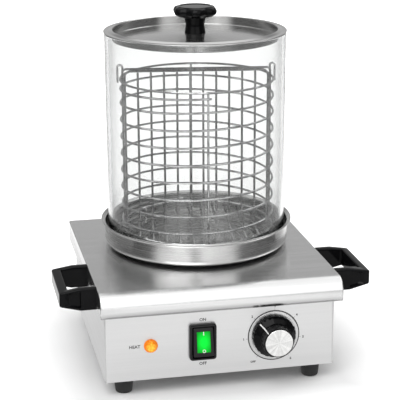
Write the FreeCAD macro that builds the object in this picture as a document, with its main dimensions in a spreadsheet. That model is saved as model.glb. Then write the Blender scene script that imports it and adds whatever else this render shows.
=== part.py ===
"""Counter steamer: a steel base with a heated water bowl, a glass cylinder, a wire basket and a lid.

The model stands on the table at z = 0, with the front of the base towards -Y and +X to its right
as seen from the front. The origin is the middle of its footprint. All lengths are millimetres.
"""
import FreeCAD, Part
import math
import os
import re
import Sketcher

Vector = FreeCAD.Vector

# Driving dimensions: alias, value, meaning

SIZES = (
    ("base_width", 260, "width of the top cover"),
    ("base_depth", 272, "depth of the top cover"),
    ("cover_top", 118.5, "height of the cover's top above the table"),
    ("lip_height", 24, "height of the cover's turned-down lip"),
    ("front_bend", 15, "outer radius of the cover's front bend"),
    ("side_bend", 2, "outer radius of the cover's other bends"),
    ("steel_sheet", 1, "thickness of the base's steel sheet"),
    ("side_setback", 5.5, "how far the casing's sides lie inside the cover's"),
    ("front_setback", 14, "how far the front and rear panels lie inside the cover"),
    ("casing_bend", 3, "outer radius of the casing's upright corners"),
    ("casing_bottom", 17.5, "height of the base's underside above the table"),
    ("return_flange", 12, "width of the casing's inward flanges"),
    ("control_reach", 24, "how far the dial and the cable gland stand out of their panels"),
    ("cut_overrun", 2, "how far a cutting solid runs past a face"),
    ("fit_gap", 0.05, "clearance of a pin, a shaft or a pressed-in piece"),
    ("rest_gap", 0.3, "clearance of a loose piece from what it stands on"),
    ("slot_length", 46, "length of a vent slot in the bottom plate"),
    ("slot_width", 4, "width of a vent slot"),
    ("slot_pitch", 12, "distance from one vent slot to the next"),
    ("slot_row", 45, "distance of a row of vent slots from the middle"),
    ("plate_screw_end", 37, "distance of the bottom plate's end screws from the panels"),
    ("foot_inset_x", 21.5, "distance of the feet's middles from the casing's sides"),
    ("foot_inset_y", 17, "distance of the feet's middles from the front and rear panels"),
    ("foot_top_radius", 11, "radius of a foot at the base"),
    ("foot_bottom_radius", 9, "radius of a foot at the table"),
    ("foot_recess_radius", 4.8, "radius of the recess for a foot's screw head"),
    ("foot_recess_depth", 9, "depth of that recess"),
    ("small_screw_radius", 1.5, "shank radius of the small screws"),
    ("small_screw_head", 2.8, "head radius of the small screws"),
    ("small_head_height", 1.6, "head height of the small screws"),
    ("small_screw_length", 6, "shank length of the small screws"),
    ("large_screw_radius", 2, "shank radius of the foot and handle screws"),
    ("large_screw_head", 3.8, "head radius of the foot and handle screws"),
    ("large_head_height", 2.4, "head height of the foot and handle screws"),
    ("foot_screw_length", 14.5, "shank length of a foot's screw"),
    ("nut_radius", 4, "corner radius of the foot nuts"),
    ("nut_height", 3.2, "height of the foot nuts"),
    ("handle_length", 80, "length of a handle along the base's side"),
    ("handle_middle", 66.5, "distance of the handles' middle in front of the base's middle"),
    ("handle_reach", 38.5, "how far a handle stands out from the cover"),
    ("handle_block", 17, "how far a handle keeps its full height"),
    ("handle_arm", 8.5, "thickness of a handle's arms"),
    ("handle_bar", 9.5, "thickness of a handle's grip bar"),
    ("handle_bar_height", 15, "height of a handle's grip bar"),
    ("handle_bar_drop", 3.5, "how far the grip bar's top lies below the cover's"),
    ("handle_rounding", 1.5, "edge radius of a handle"),
    ("handle_pocket", 4, "depth of the pockets in a handle's arms"),
    ("handle_rim", 3, "width of the rim round those pockets"),
    ("handle_screw_length", 11, "shank length of a handle's screw"),
    ("well_x", 4, "distance of the bowl's axis to the right of the middle"),
    ("well_y", 27, "distance of the bowl's axis behind the middle"),
    ("opening_margin", 4, "how far the cover's opening lies inside the gasket"),
    ("gasket_thickness", 3, "thickness of the gasket under the bowl"),
    ("gasket_inset", 12, "distance of the gasket from the bowl's bottom corner"),
    ("gasket_width", 12, "width of that gasket"),
    ("glass_radius", 100, "outer radius of the glass cylinder"),
    ("glass_wall", 4, "thickness of the glass"),
    ("glass_edge", 0.8, "edge chamfer of the glass"),
    ("bowl_gap", 3, "gap between the glass and the bowl's wall"),
    ("bowl_flare_width", 4, "how far the bowl's rim flares out"),
    ("bowl_height", 27, "height of the bowl"),
    ("bowl_flare", 3, "height of the bowl's flared rim"),
    ("bowl_corner", 6, "outer radius of the bowl's bottom corner"),
    ("bowl_sheet", 1, "thickness of the bowl's steel"),
    ("seat_height", 7, "height of the glass's seat above the bowl's floor"),
    ("seat_foot", 6.5, "width of the seat ring's foot"),
    ("seat_gap", 3.5, "gap between the glass and the seat ring's riser"),
    ("seat_lap", 1.5, "how far the seat ring reaches past the glass"),
    ("lid_lap", 1, "how far the lid reaches past the glass"),
    ("lid_gap", 4.2, "gap between the glass and the lid's pan"),
    ("lid_depth", 8, "depth of the lid's pan at its edge"),
    ("lid_dome", 5.5, "how far the pan's floor rises to its middle"),
    ("lid_seat_radius", 14, "radius of the flat middle that carries the knob"),
    ("lid_sheet", 1, "thickness of the lid's steel"),
    ("lid_corner", 2.5, "outer radius of the pan's corners"),
    ("knob_head_radius", 25.3, "radius of the lid knob's head"),
    ("knob_rim_radius", 20.5, "radius of the flat rim on top of the knob's head"),
    ("knob_dish_radius", 17.5, "radius of the shallow dish in the knob's head"),
    ("knob_dish_depth", 0.8, "depth of that dish"),
    ("knob_height", 27.8, "height of the lid knob"),
    ("knob_neck_height", 14.5, "height of the lid knob's neck"),
    ("knob_waist_radius", 10.8, "radius of the neck at its waist"),
    ("knob_foot_radius", 11.6, "radius of the neck at the lid"),
    ("knob_neck_radius", 12.4, "radius of the neck under the head"),
    ("knob_edge", 4.6, "height of the head's lower edge above the neck"),
    ("knob_screw_radius", 2.4, "shank radius of the lid knob's screw"),
    ("knob_screw_length", 14, "shank length of the lid knob's screw"),
    ("knob_screw_head", 4.4, "head radius of the lid knob's screw"),
    ("knob_head_height", 2.6, "head height of the lid knob's screw"),
    ("knob_washer_radius", 7.5, "radius of the washer under the lid"),
    ("knob_washer_thickness", 1, "thickness of that washer"),
    ("basket_gap", 10, "gap between the glass and the basket, to the wire's middle"),
    ("wire_radius", 1.25, "radius of the basket's wire"),
    ("basket_turn", -8.5, "angle of the basket's partition to the base, in degrees"),
    ("basket_floor", 15.9, "height of the basket's floor wires above its feet"),
    ("basket_height", 186.2, "height of the basket's top ring above its feet"),
    ("coil_drop", 6.4, "distance of the coil's upper end below the top ring"),
    ("coil_pitch", 19.1, "pitch of the coil"),
    ("coil_first_pitch", 14.6, "pitch of the coil's first turn"),
    ("coil_start", -82.5, "angle of the coil's upper end to the partition, in degrees"),
    ("front_upright_angle", -84.9, "angle of the front upright to the partition, in degrees"),
    ("back_upright_angle", 91.5, "angle of the back upright to the partition, in degrees"),
    ("rail_rise", 10.5, "height of the partition's rail above the top ring"),
    ("basket_headroom", 35, "height of the lid's pan above the partition's rail"),
    ("rail_bend", 4, "bend radius of the partition's outer frame"),
    ("frame_bend", 6.5, "bend radius of the partition's inner frame"),
    ("ear_rise", 4.25, "how far the lifting ears stand above the rail"),
    ("ear_spread", 5.6, "distance between the two strands of an ear"),
    ("ear_length", 20, "length of an ear's free strand"),
    ("ear_root", 20, "how far an ear's welded strand reaches below the rail"),
    ("heater_gap", 10, "gap between the heating plate and the cover's opening"),
    ("heater_thickness", 8, "thickness of the heating plate"),
    ("element_inset", 16, "distance of the tubular element from the plate's edge, to its middle"),
    ("element_radius", 4, "radius of the tubular element"),
    ("element_sweep", 320, "angle that the tubular element goes round, in degrees"),
    ("terminal_drop", 18, "length of the element's ends"),
    ("stud_radius", 3, "radius of the stud under the bowl"),
    ("spacer_height", 12, "height of the spacer on that stud"),
    ("spacer_radius", 6.5, "outer radius of that spacer"),
    ("bridge_width", 20, "width of the clamping bridge"),
    ("bridge_sheet", 2, "thickness of the clamping bridge"),
    ("bridge_foot", 14, "length of the bridge's feet"),
    ("stud_nut_radius", 6.5, "corner radius of the stud's nut"),
    ("stud_nut_height", 5, "height of the stud's nut"),
    ("cutout_radius", 7.5, "radius of the thermal cut-out"),
    ("cutout_height", 5, "height of the thermal cut-out's disc"),
    ("cutout_neck", 5, "radius of the cut-out's lower part"),
    ("bulb_radius", 3, "radius of the thermostat's bulb"),
    ("bulb_end_gap", 8, "how much shorter the bulb is than the element's radius"),
    ("capillary_radius", 1, "radius of the thermostat's capillary tube"),
    ("capillary_bend", 4, "bend radius of the capillary tube"),
    ("capillary_depth", 22, "how far the capillary runs below the bowl"),
    ("dial_x", 57.2, "distance of the dial to the right of the middle"),
    ("dial_z", 55.9, "height of the dial's axis above the table"),
    ("dial_angle", 136, "direction of the pointer at rest, in degrees"),
    ("dial_radius", 23.4, "radius of the dial's skirt"),
    ("dial_skirt", 5, "height of the dial's skirt"),
    ("dial_shoulder", 21, "radius of the dial's shoulder"),
    ("dial_grip_root", 17, "radius of the dial's grip at its root"),
    ("dial_grip_tip", 16.2, "radius of the dial's grip at its end"),
    ("dial_clearance", 0.8, "gap between the dial and the panel"),
    ("dial_hollow", 3.6, "depth of the hollow under the dial"),
    ("dial_cap_radius", 15, "radius of the dial's metal cap"),
    ("dial_cap_thickness", 1.8, "thickness of the dial's metal cap"),
    ("dial_cap_proud", 0.8, "how far the cap stands out of the grip"),
    ("pointer_width", 1.4, "width of the dial's pointer line"),
    ("pointer_proud", 0.35, "how far the pointer line stands out"),
    ("trim_inner", 24.2, "inner radius of the dial's trim ring"),
    ("trim_outer", 27.4, "outer radius of the dial's trim ring"),
    ("trim_thickness", 0.8, "thickness of the dial's trim ring"),
    ("shaft_radius", 3, "radius of the thermostat's shaft"),
    ("shaft_depth", 12, "how far the shaft reaches behind the panel's face"),
    ("shaft_hole", 5, "radius of the panel's hole for the shaft"),
    ("thermostat_size", 36, "width and height of the thermostat"),
    ("thermostat_depth", 24, "depth of the thermostat"),
    ("thermostat_screw_pitch", 28, "distance between the thermostat's screws"),
    ("switch_x", -20.5, "distance of the switch to the right of the middle"),
    ("switch_z", 56, "height of the switch's middle above the table"),
    ("switch_width", 29, "width of the switch's frame"),
    ("switch_height", 40, "height of the switch's frame"),
    ("switch_proud", 5.5, "how far the switch's frame stands out of the panel"),
    ("switch_corner", 3, "corner radius of the switch's frame"),
    ("switch_depth", 18, "depth of the switch's collar behind the panel"),
    ("switch_wall", 0.8, "wall of the switch's collar"),
    ("rocker_width", 22, "width of the rocker"),
    ("rocker_height", 31.6, "height of the rocker"),
    ("rocker_front", 8.2, "distance of the rocker's face from its pivot"),
    ("rocker_back", 7, "distance of the rocker's back from its pivot"),
    ("rocker_root", 18, "height of the rocker's back"),
    ("rocker_gap_x", 0.5, "gap beside the rocker"),
    ("rocker_gap_z", 1.6, "gap above and below the rocker"),
    ("rocker_tilt", 10, "tilt of the rocker when it is on, in degrees"),
    ("rocker_rounding", 1.2, "edge radius of the rocker's face"),
    ("pivot_depth", 1, "depth of the rocker's pivot behind the panel's face"),
    ("pivot_radius", 1.45, "radius of the rocker's pivot pins"),
    ("lens_width", 14.6, "width of the rocker's lens"),
    ("lens_height", 22.6, "height of the rocker's lens"),
    ("lens_depth", 1.2, "depth of the lens's recess"),
    ("lens_proud", 0.4, "how far the lens stands out of the rocker"),
    ("contact_depth", 16, "depth of the switch's contact block"),
    ("contact_gap", 3, "gap between the rocker and the contact block"),
    ("blade_width", 6.3, "width of the switch's terminal blades"),
    ("blade_sheet", 0.8, "thickness of the switch's terminal blades"),
    ("blade_length", 8, "length of the switch's terminal blades"),
    ("blade_pitch_x", 11, "distance between the blades, sideways"),
    ("blade_pitch_z", 14, "distance between the blades, up and down"),
    ("lamp_x", -76, "distance of the pilot lamp to the right of the middle"),
    ("lamp_z", 55.6, "height of the pilot lamp above the table"),
    ("lamp_radius", 7.4, "radius of the lamp's lens"),
    ("lamp_flange", 1.6, "height of the lens's flange"),
    ("lamp_dome", 5.4, "height of the lens's dome above its flange"),
    ("lamp_crown_radius", 4.2, "radius of the flat on top of the dome"),
    ("lamp_tube_radius", 5, "radius of the lamp's body"),
    ("lamp_tube_length", 24, "length of the lamp's body behind the panel's face"),
    ("lamp_nut_radius", 8, "corner radius of the lamp's nut"),
    ("lamp_nut_height", 3, "height of the lamp's nut"),
    ("gland_inset", 46.5, "distance of the cable gland from the casing's left side"),
    ("gland_z", 45, "height of the cable gland above the table"),
    ("gland_bore", 4, "radius of the cable gland's bore"),
    ("gland_barrel", 8, "radius of the cable gland's barrel"),
    ("gland_barrel_length", 9, "length of the barrel behind the panel's face"),
    ("gland_hexagon", 12, "corner radius of the cable gland's hexagon"),
    ("gland_hexagon_height", 6, "height of that hexagon"),
    ("gland_cap_radius", 10, "radius of the gland's cap at the hexagon"),
    ("gland_mouth_radius", 6.5, "radius of the gland's cap at its mouth"),
    ("gland_nut_height", 4, "height of the gland's nut"),
    ("block_inset", 52.5, "distance of the terminal block from the casing's left side"),
    ("block_y", 72, "distance of the terminal block behind the middle"),
    ("block_width", 34, "width of the terminal block"),
    ("block_depth", 20, "depth of the terminal block"),
    ("block_height", 16, "height of the terminal block"),
    ("block_pitch", 10, "distance between the terminal block's screws"),
    ("earth_inset", 94.5, "distance of the earth screw from the casing's left side"),
    ("earth_y", 90, "distance of the earth screw behind the middle"),
    ("earth_length", 10, "length of the earth screw"),
)

ALIASES = {alias for alias, value, meaning in SIZES}
QUARTER_TURN = 90
HALF_TURN = 180
FULL_TURN = 360
HEXAGON_SIDE_COUNT = 6
SLOT_COUNT = 9
WIRE_GAP_COUNT = 11
LEG_GAP_COUNT = 4
ROUND = 2 * math.pi

# Derived places, written as expressions of the sizes above

COVER_UNDERSIDE = "(cover_top - steel_sheet)"
LIP_BOTTOM = "(cover_top - lip_height)"
CASING_HALF = "(base_width / 2 - side_setback)"
GLAND_X = f"(gland_inset - {CASING_HALF})"
BLOCK_X = f"(block_inset - {CASING_HALF})"
EARTH_X = f"(earth_inset - {CASING_HALF})"
PANEL = "(base_depth / 2 - front_setback)"
PLATE_TOP = "(casing_bottom + steel_sheet)"
BOWL_RADIUS = "(glass_radius + bowl_gap + bowl_sheet)"
BOWL_RIM = f"({BOWL_RADIUS} + bowl_flare_width)"
GASKET_OUTER = f"({BOWL_RADIUS} - bowl_corner - gasket_inset)"
GASKET_INNER = f"({GASKET_OUTER} - gasket_width)"
WELL_OPENING = f"({GASKET_INNER} - opening_margin)"
HEATER_RADIUS = f"({WELL_OPENING} - heater_gap)"
ELEMENT_RING = f"({HEATER_RADIUS} - element_inset)"
SENSOR_OFFSET = f"(({ELEMENT_RING} - element_radius + spacer_radius) / 2)"
BULB_LENGTH = f"({ELEMENT_RING} - bulb_end_gap)"
SEAT_OUTER = "(glass_radius + seat_lap)"
SEAT_RISER = "(glass_radius - glass_wall - seat_gap)"
SEAT_INNER = f"({SEAT_RISER} - seat_foot)"
LID_RADIUS = "(glass_radius + lid_lap)"
LID_PAN = "(glass_radius - glass_wall - lid_gap)"
BASKET_RADIUS = "(glass_radius - glass_wall - basket_gap)"
RAIL_HEIGHT = "(basket_height + rail_rise)"
BOWL_UNDERSIDE = "(cover_top + gasket_thickness)"
BOWL_FLOOR = f"({BOWL_UNDERSIDE} + bowl_sheet)"
GLASS_BOTTOM = f"({BOWL_FLOOR} + seat_height)"
HEATER_UNDERSIDE = f"({BOWL_UNDERSIDE} - heater_thickness)"
BRIDGE_TOP = f"({HEATER_UNDERSIDE} - spacer_height)"
BRIDGE_UNDERSIDE = f"({BRIDGE_TOP} - bridge_sheet)"
BASKET_FEET = f"({BOWL_FLOOR} + rest_gap)"
LID_TOP = f"({BASKET_FEET} + {RAIL_HEIGHT} + basket_headroom + lid_depth)"
GLASS_HEIGHT = f"({LID_TOP} - lid_sheet - {GLASS_BOTTOM})"
WIRE_STEP = "(2 * wire_radius + fit_gap)"
INNER_WIRE = f"({BASKET_RADIUS} - {WIRE_STEP})"
FRAME_WIRE = f"({INNER_WIRE} - {WIRE_STEP})"
FLOOR_RING = f"(basket_floor + {WIRE_STEP})"
WIRE_FOOT = f"(basket_floor + wire_radius + fit_gap)"
FRAME_HEIGHT = f"({RAIL_HEIGHT} - {WIRE_STEP})"
PARTITION_PITCH = f"(2 * {FRAME_WIRE} / {WIRE_GAP_COUNT})"
OPENING_WIDTH = "(rocker_width + 2 * rocker_gap_x)"
OPENING_HEIGHT = "(rocker_height + 2 * rocker_gap_z)"
COLLAR_WIDTH = f"({OPENING_WIDTH} + 2 * switch_wall)"
COLLAR_HEIGHT = f"({OPENING_HEIGHT} + 2 * switch_wall)"
CONTACT_FRONT = "(pivot_depth + rocker_back + contact_gap)"

doc = FreeCAD.newDocument("counter_steamer")
sheet = doc.addObject("Spreadsheet::Sheet", "Sizes")
nodes = []


# Helpers: the sheet, expressions and places

def fill_sheet():
    """Write each size in its own row: meaning, value and alias."""
    for row, (alias, value, meaning) in enumerate(SIZES, start=1):
        sheet.set(f"A{row}", meaning)
        sheet.set(f"B{row}", str(value))
        sheet.setAlias(f"B{row}", alias)
    doc.recompute()


def number(expression):
    """The present value of an expression of the sizes."""
    return float(sheet.evalExpression(str(expression)))


def bound(expression):
    """The same expression with each alias given as a cell of the sheet."""
    return re.sub(r"[a-z]\w*", lambda word: qualified(word.group()), str(expression))


def qualified(word):
    return f"Sizes.{word}" if word in ALIASES else word


def bind(thing, **properties):
    """Tie properties of an object to expressions."""
    for name, expression in properties.items():
        thing.setExpression(name, bound(expression))
    return thing


def turned(axis, angle):
    return FreeCAD.Rotation(axis, angle)


UP = turned(Vector(1, 0, 0), 0)
DOWN = turned(Vector(1, 0, 0), HALF_TURN)
FORWARD = turned(Vector(1, 0, 0), QUARTER_TURN)
BACKWARD = turned(Vector(1, 0, 0), -QUARTER_TURN)
RIGHTWARD = turned(Vector(0, 1, 0), QUARTER_TURN)
LEFTWARD = turned(Vector(0, 1, 0), -QUARTER_TURN)


def place(thing, x="0", y="0", z="0", facing=UP):
    """Put an object's origin at x, y, z, with its own Z axis facing as given."""
    thing.Placement = FreeCAD.Placement(Vector(number(x), number(y), number(z)), facing)
    for name, expression in (("x", x), ("y", y), ("z", z)):
        thing.setExpression(f"Placement.Base.{name}", bound(expression))
    return thing


def node(thing, label):
    """Give an object its label and keep it as a piece of the assembly."""
    thing.Label = label
    nodes.append(thing)
    return thing


# Helpers: part primitives

def cylinder(name, radius, height, **where):
    thing = doc.addObject("Part::Cylinder", name)
    bind(thing, Radius=radius, Height=height)
    return place(thing, **where)


def block(name, width, depth, height, x="0", y="0", z="0"):
    """A box centred on x and y, standing on z."""
    thing = doc.addObject("Part::Box", name)
    bind(thing, Length=width, Width=depth, Height=height)
    return place(thing, f"{x} - ({width}) / 2", f"{y} - ({depth}) / 2", z)


def prism(name, radius, height, **where):
    thing = doc.addObject("Part::Prism", name)
    thing.Polygon = HEXAGON_SIDE_COUNT
    bind(thing, Circumradius=radius, Height=height)
    return place(thing, **where)


def group(name, members):
    thing = doc.addObject("Part::Compound", name)
    thing.Links = members
    return thing


def joined(name, members):
    thing = doc.addObject("Part::MultiFuse", name)
    thing.Shapes = members
    return thing


def cut(name, solid, tools):
    thing = doc.addObject("Part::Cut", name)
    thing.Base = solid
    thing.Tool = tools[0] if len(tools) == 1 else joined(name + "_tools", tools)
    return thing


def tube(name, outer, inner, height, **where):
    solid = cylinder(name + "_outside", outer, height)
    bore = cylinder(name + "_bore", inner, f"{height} + 2 * cut_overrun", z="-cut_overrun")
    return place(cut(name, solid, [bore]), **where)


def stack(name, steps, **where):
    """Cylinders of the given radii and heights, one on the other, as one solid."""
    members = []
    level = "0"
    for index, (radius, height) in enumerate(steps):
        members.append(cylinder(f"{name}_step{index}", radius, height, z=level))
        level = f"{level} + {height}"
    return place(joined(name, members), **where)


def nut(name, radius, bore, height, **where):
    hexagon = prism(name + "_hexagon", radius, height)
    hole = cylinder(name + "_hole", bore, f"{height} + 2 * cut_overrun", z="-cut_overrun")
    return place(cut(name, hexagon, [hole]), **where)


# Helpers: bodies with sketches and features

def start_body(name, **where):
    return place(doc.addObject("PartDesign::Body", name), **where)


def sketch_on(body, role, name):
    """A sketch on one of the body's own origin planes."""
    plane = next(item for item in body.Origin.OriginFeatures if item.Role == role)
    sketch = body.newObject("Sketcher::SketchObject", name)
    sketch.AttachmentSupport = [(plane, "")]
    sketch.MapMode = "FlatFace"
    return sketch


def pin_point(sketch, element, which, u, v):
    """Tie a point of a sketch to two expressions."""
    for kind, expression in (("DistanceX", u), ("DistanceY", v)):
        rule = Sketcher.Constraint(kind, -1, 1, element, which, number(expression))
        index = sketch.addConstraint(rule)
        sketch.setExpression(f"Constraints[{index}]", bound(expression))


def outline(sketch, corners):
    """A closed outline of straight lines through corners given as pairs of expressions."""
    points = [Vector(number(u), number(v), 0) for u, v in corners]
    first = sketch.GeometryCount
    count = len(points)
    for index, point in enumerate(points):
        sketch.addGeometry(Part.LineSegment(point, points[(index + 1) % count]))
    for index in range(count):
        sketch.addConstraint(
            Sketcher.Constraint("Coincident", first + index, 2, first + (index + 1) % count, 1))
    for index, (u, v) in enumerate(corners):
        pin_point(sketch, first + index, 1, u, v)


def rectangle(sketch, width, height, u="0", v="0"):
    """An outline of the given width and height round the point u, v."""
    left, right = f"{u} - ({width}) / 2", f"{u} + ({width}) / 2"
    low, high = f"{v} - ({height}) / 2", f"{v} + ({height}) / 2"
    outline(sketch, ((left, low), (right, low), (right, high), (left, high)))


def circle(sketch, radius, u="0", v="0"):
    element = sketch.addGeometry(
        Part.Circle(Vector(number(u), number(v), 0), Vector(0, 0, 1), number(radius)))
    pin_point(sketch, element, 3, u, v)
    index = sketch.addConstraint(Sketcher.Constraint("Radius", element, number(radius)))
    sketch.setExpression(f"Constraints[{index}]", bound(radius))


def pad(body, sketch, length, midplane=False, backward=False):
    feature = body.newObject("PartDesign::Pad", sketch.Name + "_pad")
    feature.Profile = sketch
    feature.Midplane = midplane
    feature.Reversed = backward
    bind(feature, Length=length)
    doc.recompute()
    return feature


def pocket(body, sketch, length, midplane=False, backward=False):
    feature = body.newObject("PartDesign::Pocket", sketch.Name + "_pocket")
    feature.Profile = sketch
    feature.Midplane = midplane
    feature.Reversed = backward
    bind(feature, Length=length)
    before = feature.BaseFeature.Shape.Volume
    doc.recompute()
    if feature.Shape.Volume >= before:
        raise RuntimeError(f"{feature.Name} cuts nothing")
    return feature


def round_edges(body, feature, radius, chosen):
    """Round each edge of a feature for which chosen(edge) is true."""
    names = [f"Edge{index}" for index, edge in enumerate(feature.Shape.Edges, start=1)
             if chosen(edge)]
    fillet = body.newObject("PartDesign::Fillet", feature.Name + "_round")
    fillet.Base = (feature, names)
    bind(fillet, Radius=radius)
    doc.recompute()
    return fillet


def same(first, second):
    return abs(first - second) < Part.Precision.confusion() * 10


def runs_along(edge, axis):
    """True for a straight edge that is parallel to an axis."""
    start, end = edge.Vertexes[0].Point, edge.Vertexes[-1].Point
    across = (end - start).cross(axis).Length
    return isinstance(edge.Curve, Part.Line) and same(across, 0)


def hoop(radius, height):
    """A test for the round edge of the given radius at the given height."""
    def chosen(edge):
        round_edge = isinstance(edge.Curve, Part.Circle)
        return (round_edge and same(edge.Curve.Radius, number(radius))
                and same(edge.Curve.Center.z, number(height)))
    return chosen


def revolved(name, profile, rounds=(), **where):
    """A solid of revolution about its own Z axis.

    The profile gives radius and height at each corner, and rounds gives a radius, a corner's
    radius and height for each edge that is rounded.
    """
    body = start_body(name, **where)
    sketch = sketch_on(body, "XZ_Plane", name + "_profile")
    outline(sketch, profile)
    feature = body.newObject("PartDesign::Revolution", name + "_turn")
    feature.Profile = sketch
    feature.ReferenceAxis = (sketch, ["V_Axis"])
    doc.recompute()
    placement = body.Placement
    for rounding, radius, height in rounds:
        body.Placement = FreeCAD.Placement()
        feature = round_edges(body, feature, rounding, hoop(radius, height))
        body.Placement = placement
    return body


# Helpers: bent wires and tubes

def tangent_arc(start, direction, end):
    """The arc from start to end that leaves start in the given direction."""
    chord = end - start
    along = Vector(chord).normalize()
    angle = direction.getAngle(along)
    if same(angle, 0):
        return Part.LineSegment(start, end).toShape()
    side = direction - along * math.cos(angle)
    side.normalize()
    middle = (start + end) * 0.5 + side * (chord.Length / 2 * math.tan(angle / 2))
    return Part.Arc(start, middle, end).toShape()


def bent_path(points, bend):
    """Straight runs through the points, joined at each corner by an arc of the bend's radius."""
    edges = []
    start = points[0]
    for before, corner, after in zip(points, points[1:], points[2:]):
        arriving = (corner - before).normalize()
        leaving = (after - corner).normalize()
        trim = bend * math.tan(arriving.getAngle(leaving) / 2)
        arc_start = corner - arriving * trim
        arc_end = corner + leaving * trim
        edges.append(Part.LineSegment(start, arc_start).toShape())
        edges.append(tangent_arc(arc_start, arriving, arc_end))
        start = arc_end
    edges.append(Part.LineSegment(start, points[-1]).toShape())
    return Part.Wire(edges)


def swept(path, radius):
    """A round wire of the given radius along a path."""
    first = path.Edges[0]
    start = first.valueAt(first.FirstParameter)
    direction = first.tangentAt(first.FirstParameter)
    ring = Part.Wire(Part.makeCircle(radius, start, direction))
    return path.makePipeShell([ring], True, False)


def feature(name, shape):
    thing = doc.addObject("Part::Feature", name)
    thing.Shape = shape
    return thing


def bent_wire(name, corners, bend, radius, **where):
    """A wire through corners given as triples of expressions, as a solid of its own."""
    points = [Vector(*(number(value) for value in corner)) for corner in corners]
    return place(feature(name, swept(bent_path(points, number(bend)), number(radius))), **where)


# The base: cover, casing, bottom plate, feet and handles

def cover_block(name, inset, radius_front, radius_side, low, high):
    """A block of the cover's outline, inset all round, with its top edges rounded."""
    body = start_body(name, z=low)
    sketch = sketch_on(body, "XY_Plane", name + "_outline")
    rectangle(sketch, f"base_width - 2 * {inset}", f"base_depth - 2 * {inset}")
    solid = pad(body, sketch, f"{high} - {low}")
    top = solid.Shape.BoundBox.ZMax
    front = solid.Shape.BoundBox.YMin

    def top_front(edge):
        middle = edge.CenterOfMass
        return same(middle.z, top) and same(middle.y, front)

    def beside_top(edge):
        middle = edge.CenterOfMass
        level = same(middle.z, top) and not runs_along(edge, Vector(1, 0, 0))
        bend = isinstance(edge.Curve, Part.Circle)
        rear = same(middle.z, top) and same(middle.y, -front)
        return level or bend or rear

    bent = round_edges(body, solid, radius_front, top_front)
    round_edges(body, bent, radius_side, beside_top)
    return body


def make_top_cover():
    """Folded lid of the base, with a large front bend and an opening under the bowl."""
    outside = cover_block("cover_outside", "0", "front_bend", "side_bend", LIP_BOTTOM, "cover_top")
    inside = cover_block("cover_inside", "steel_sheet", "front_bend - steel_sheet",
                         "side_bend - steel_sheet", f"({LIP_BOTTOM} - cut_overrun)", COVER_UNDERSIDE)
    opening = cylinder("cover_opening", WELL_OPENING, "lip_height", x="well_x", y="well_y",
                       z=f"{COVER_UNDERSIDE} - cut_overrun")
    holes = [cylinder(f"cover_handle_hole{index}", "large_screw_radius + fit_gap",
                      "steel_sheet + 2 * cut_overrun",
                      x=f"{side} * (base_width / 2 - steel_sheet - cut_overrun)", y=y, z=z,
                      facing=RIGHTWARD if side > 0 else LEFTWARD)
             for index, (side, y, z) in enumerate(handle_screw_places())]
    node(cut("top_cover", outside, [inside, opening] + holes), "top_cover")


def handle_screw_places():
    """Side, y and z of each handle screw."""
    reach = "(handle_length - handle_arm) / 2"
    return [(side, f"-handle_middle + {end} * {reach}", "cover_top - lip_height / 2")
            for side in (-1, 1) for end in (-1, 1)]


def plate_screw_places():
    """x and y of each screw that holds the bottom plate to the casing's flange."""
    return [(f"{side} * ({CASING_HALF} - return_flange / 2)", f"{step} * ({PANEL} - plate_screw_end)")
            for side in (-1, 1) for step in (-1, 0, 1)]


def make_lower_casing():
    """Folded sheet box with inward flanges at its top and bottom and the panels' holes."""
    body = start_body("casing_outside", z=PLATE_TOP)
    sketch = sketch_on(body, "XY_Plane", "casing_outline")
    rectangle(sketch, f"2 * {CASING_HALF}", f"2 * {PANEL}")
    solid = pad(body, sketch, f"{COVER_UNDERSIDE} - fit_gap - {PLATE_TOP}")
    round_edges(body, solid, "casing_bend", lambda edge: runs_along(edge, Vector(0, 0, 1)))
    hollow = block("casing_hollow", f"2 * ({CASING_HALF} - steel_sheet)",
                   f"2 * ({PANEL} - steel_sheet)",
                   f"{COVER_UNDERSIDE} - fit_gap - {PLATE_TOP} - 2 * steel_sheet",
                   z=f"{PLATE_TOP} + steel_sheet")
    mouth = block("casing_mouth", f"2 * ({CASING_HALF} - return_flange)",
                  f"2 * ({PANEL} - return_flange)", "cover_top", z="casing_bottom")
    through = "steel_sheet + 2 * cut_overrun"
    inner_face = f"-{PANEL} + steel_sheet + cut_overrun"
    holes = [
        block("switch_hole", f"{COLLAR_WIDTH} + 2 * fit_gap", through,
              f"{COLLAR_HEIGHT} + 2 * fit_gap", x="switch_x",
              y=f"-{PANEL} + steel_sheet / 2", z=f"switch_z - {COLLAR_HEIGHT} / 2 - fit_gap"),
        cylinder("dial_hole", "shaft_hole", through, x="dial_x", y=inner_face, z="dial_z",
                 facing=FORWARD),
        cylinder("lamp_hole", "lamp_tube_radius + fit_gap", through, x="lamp_x", y=inner_face,
                 z="lamp_z", facing=FORWARD),
        cylinder("gland_hole", "gland_barrel + fit_gap", through, x=GLAND_X,
                 y=f"{PANEL} - steel_sheet - cut_overrun", z="gland_z", facing=BACKWARD),
    ]
    holes += [cylinder(f"thermostat_hole{index}", "small_screw_radius + fit_gap", through, x=x,
                       y=inner_face, z="dial_z", facing=FORWARD)
              for index, x in enumerate(thermostat_screw_places())]
    holes += [cylinder(f"flange_hole{index}", "small_screw_radius + fit_gap", through, x=x, y=y,
                       z=f"{PLATE_TOP} - cut_overrun")
              for index, (x, y) in enumerate(plate_screw_places())]
    node(cut("lower_casing", body, [hollow, mouth] + holes), "lower_casing")


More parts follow.
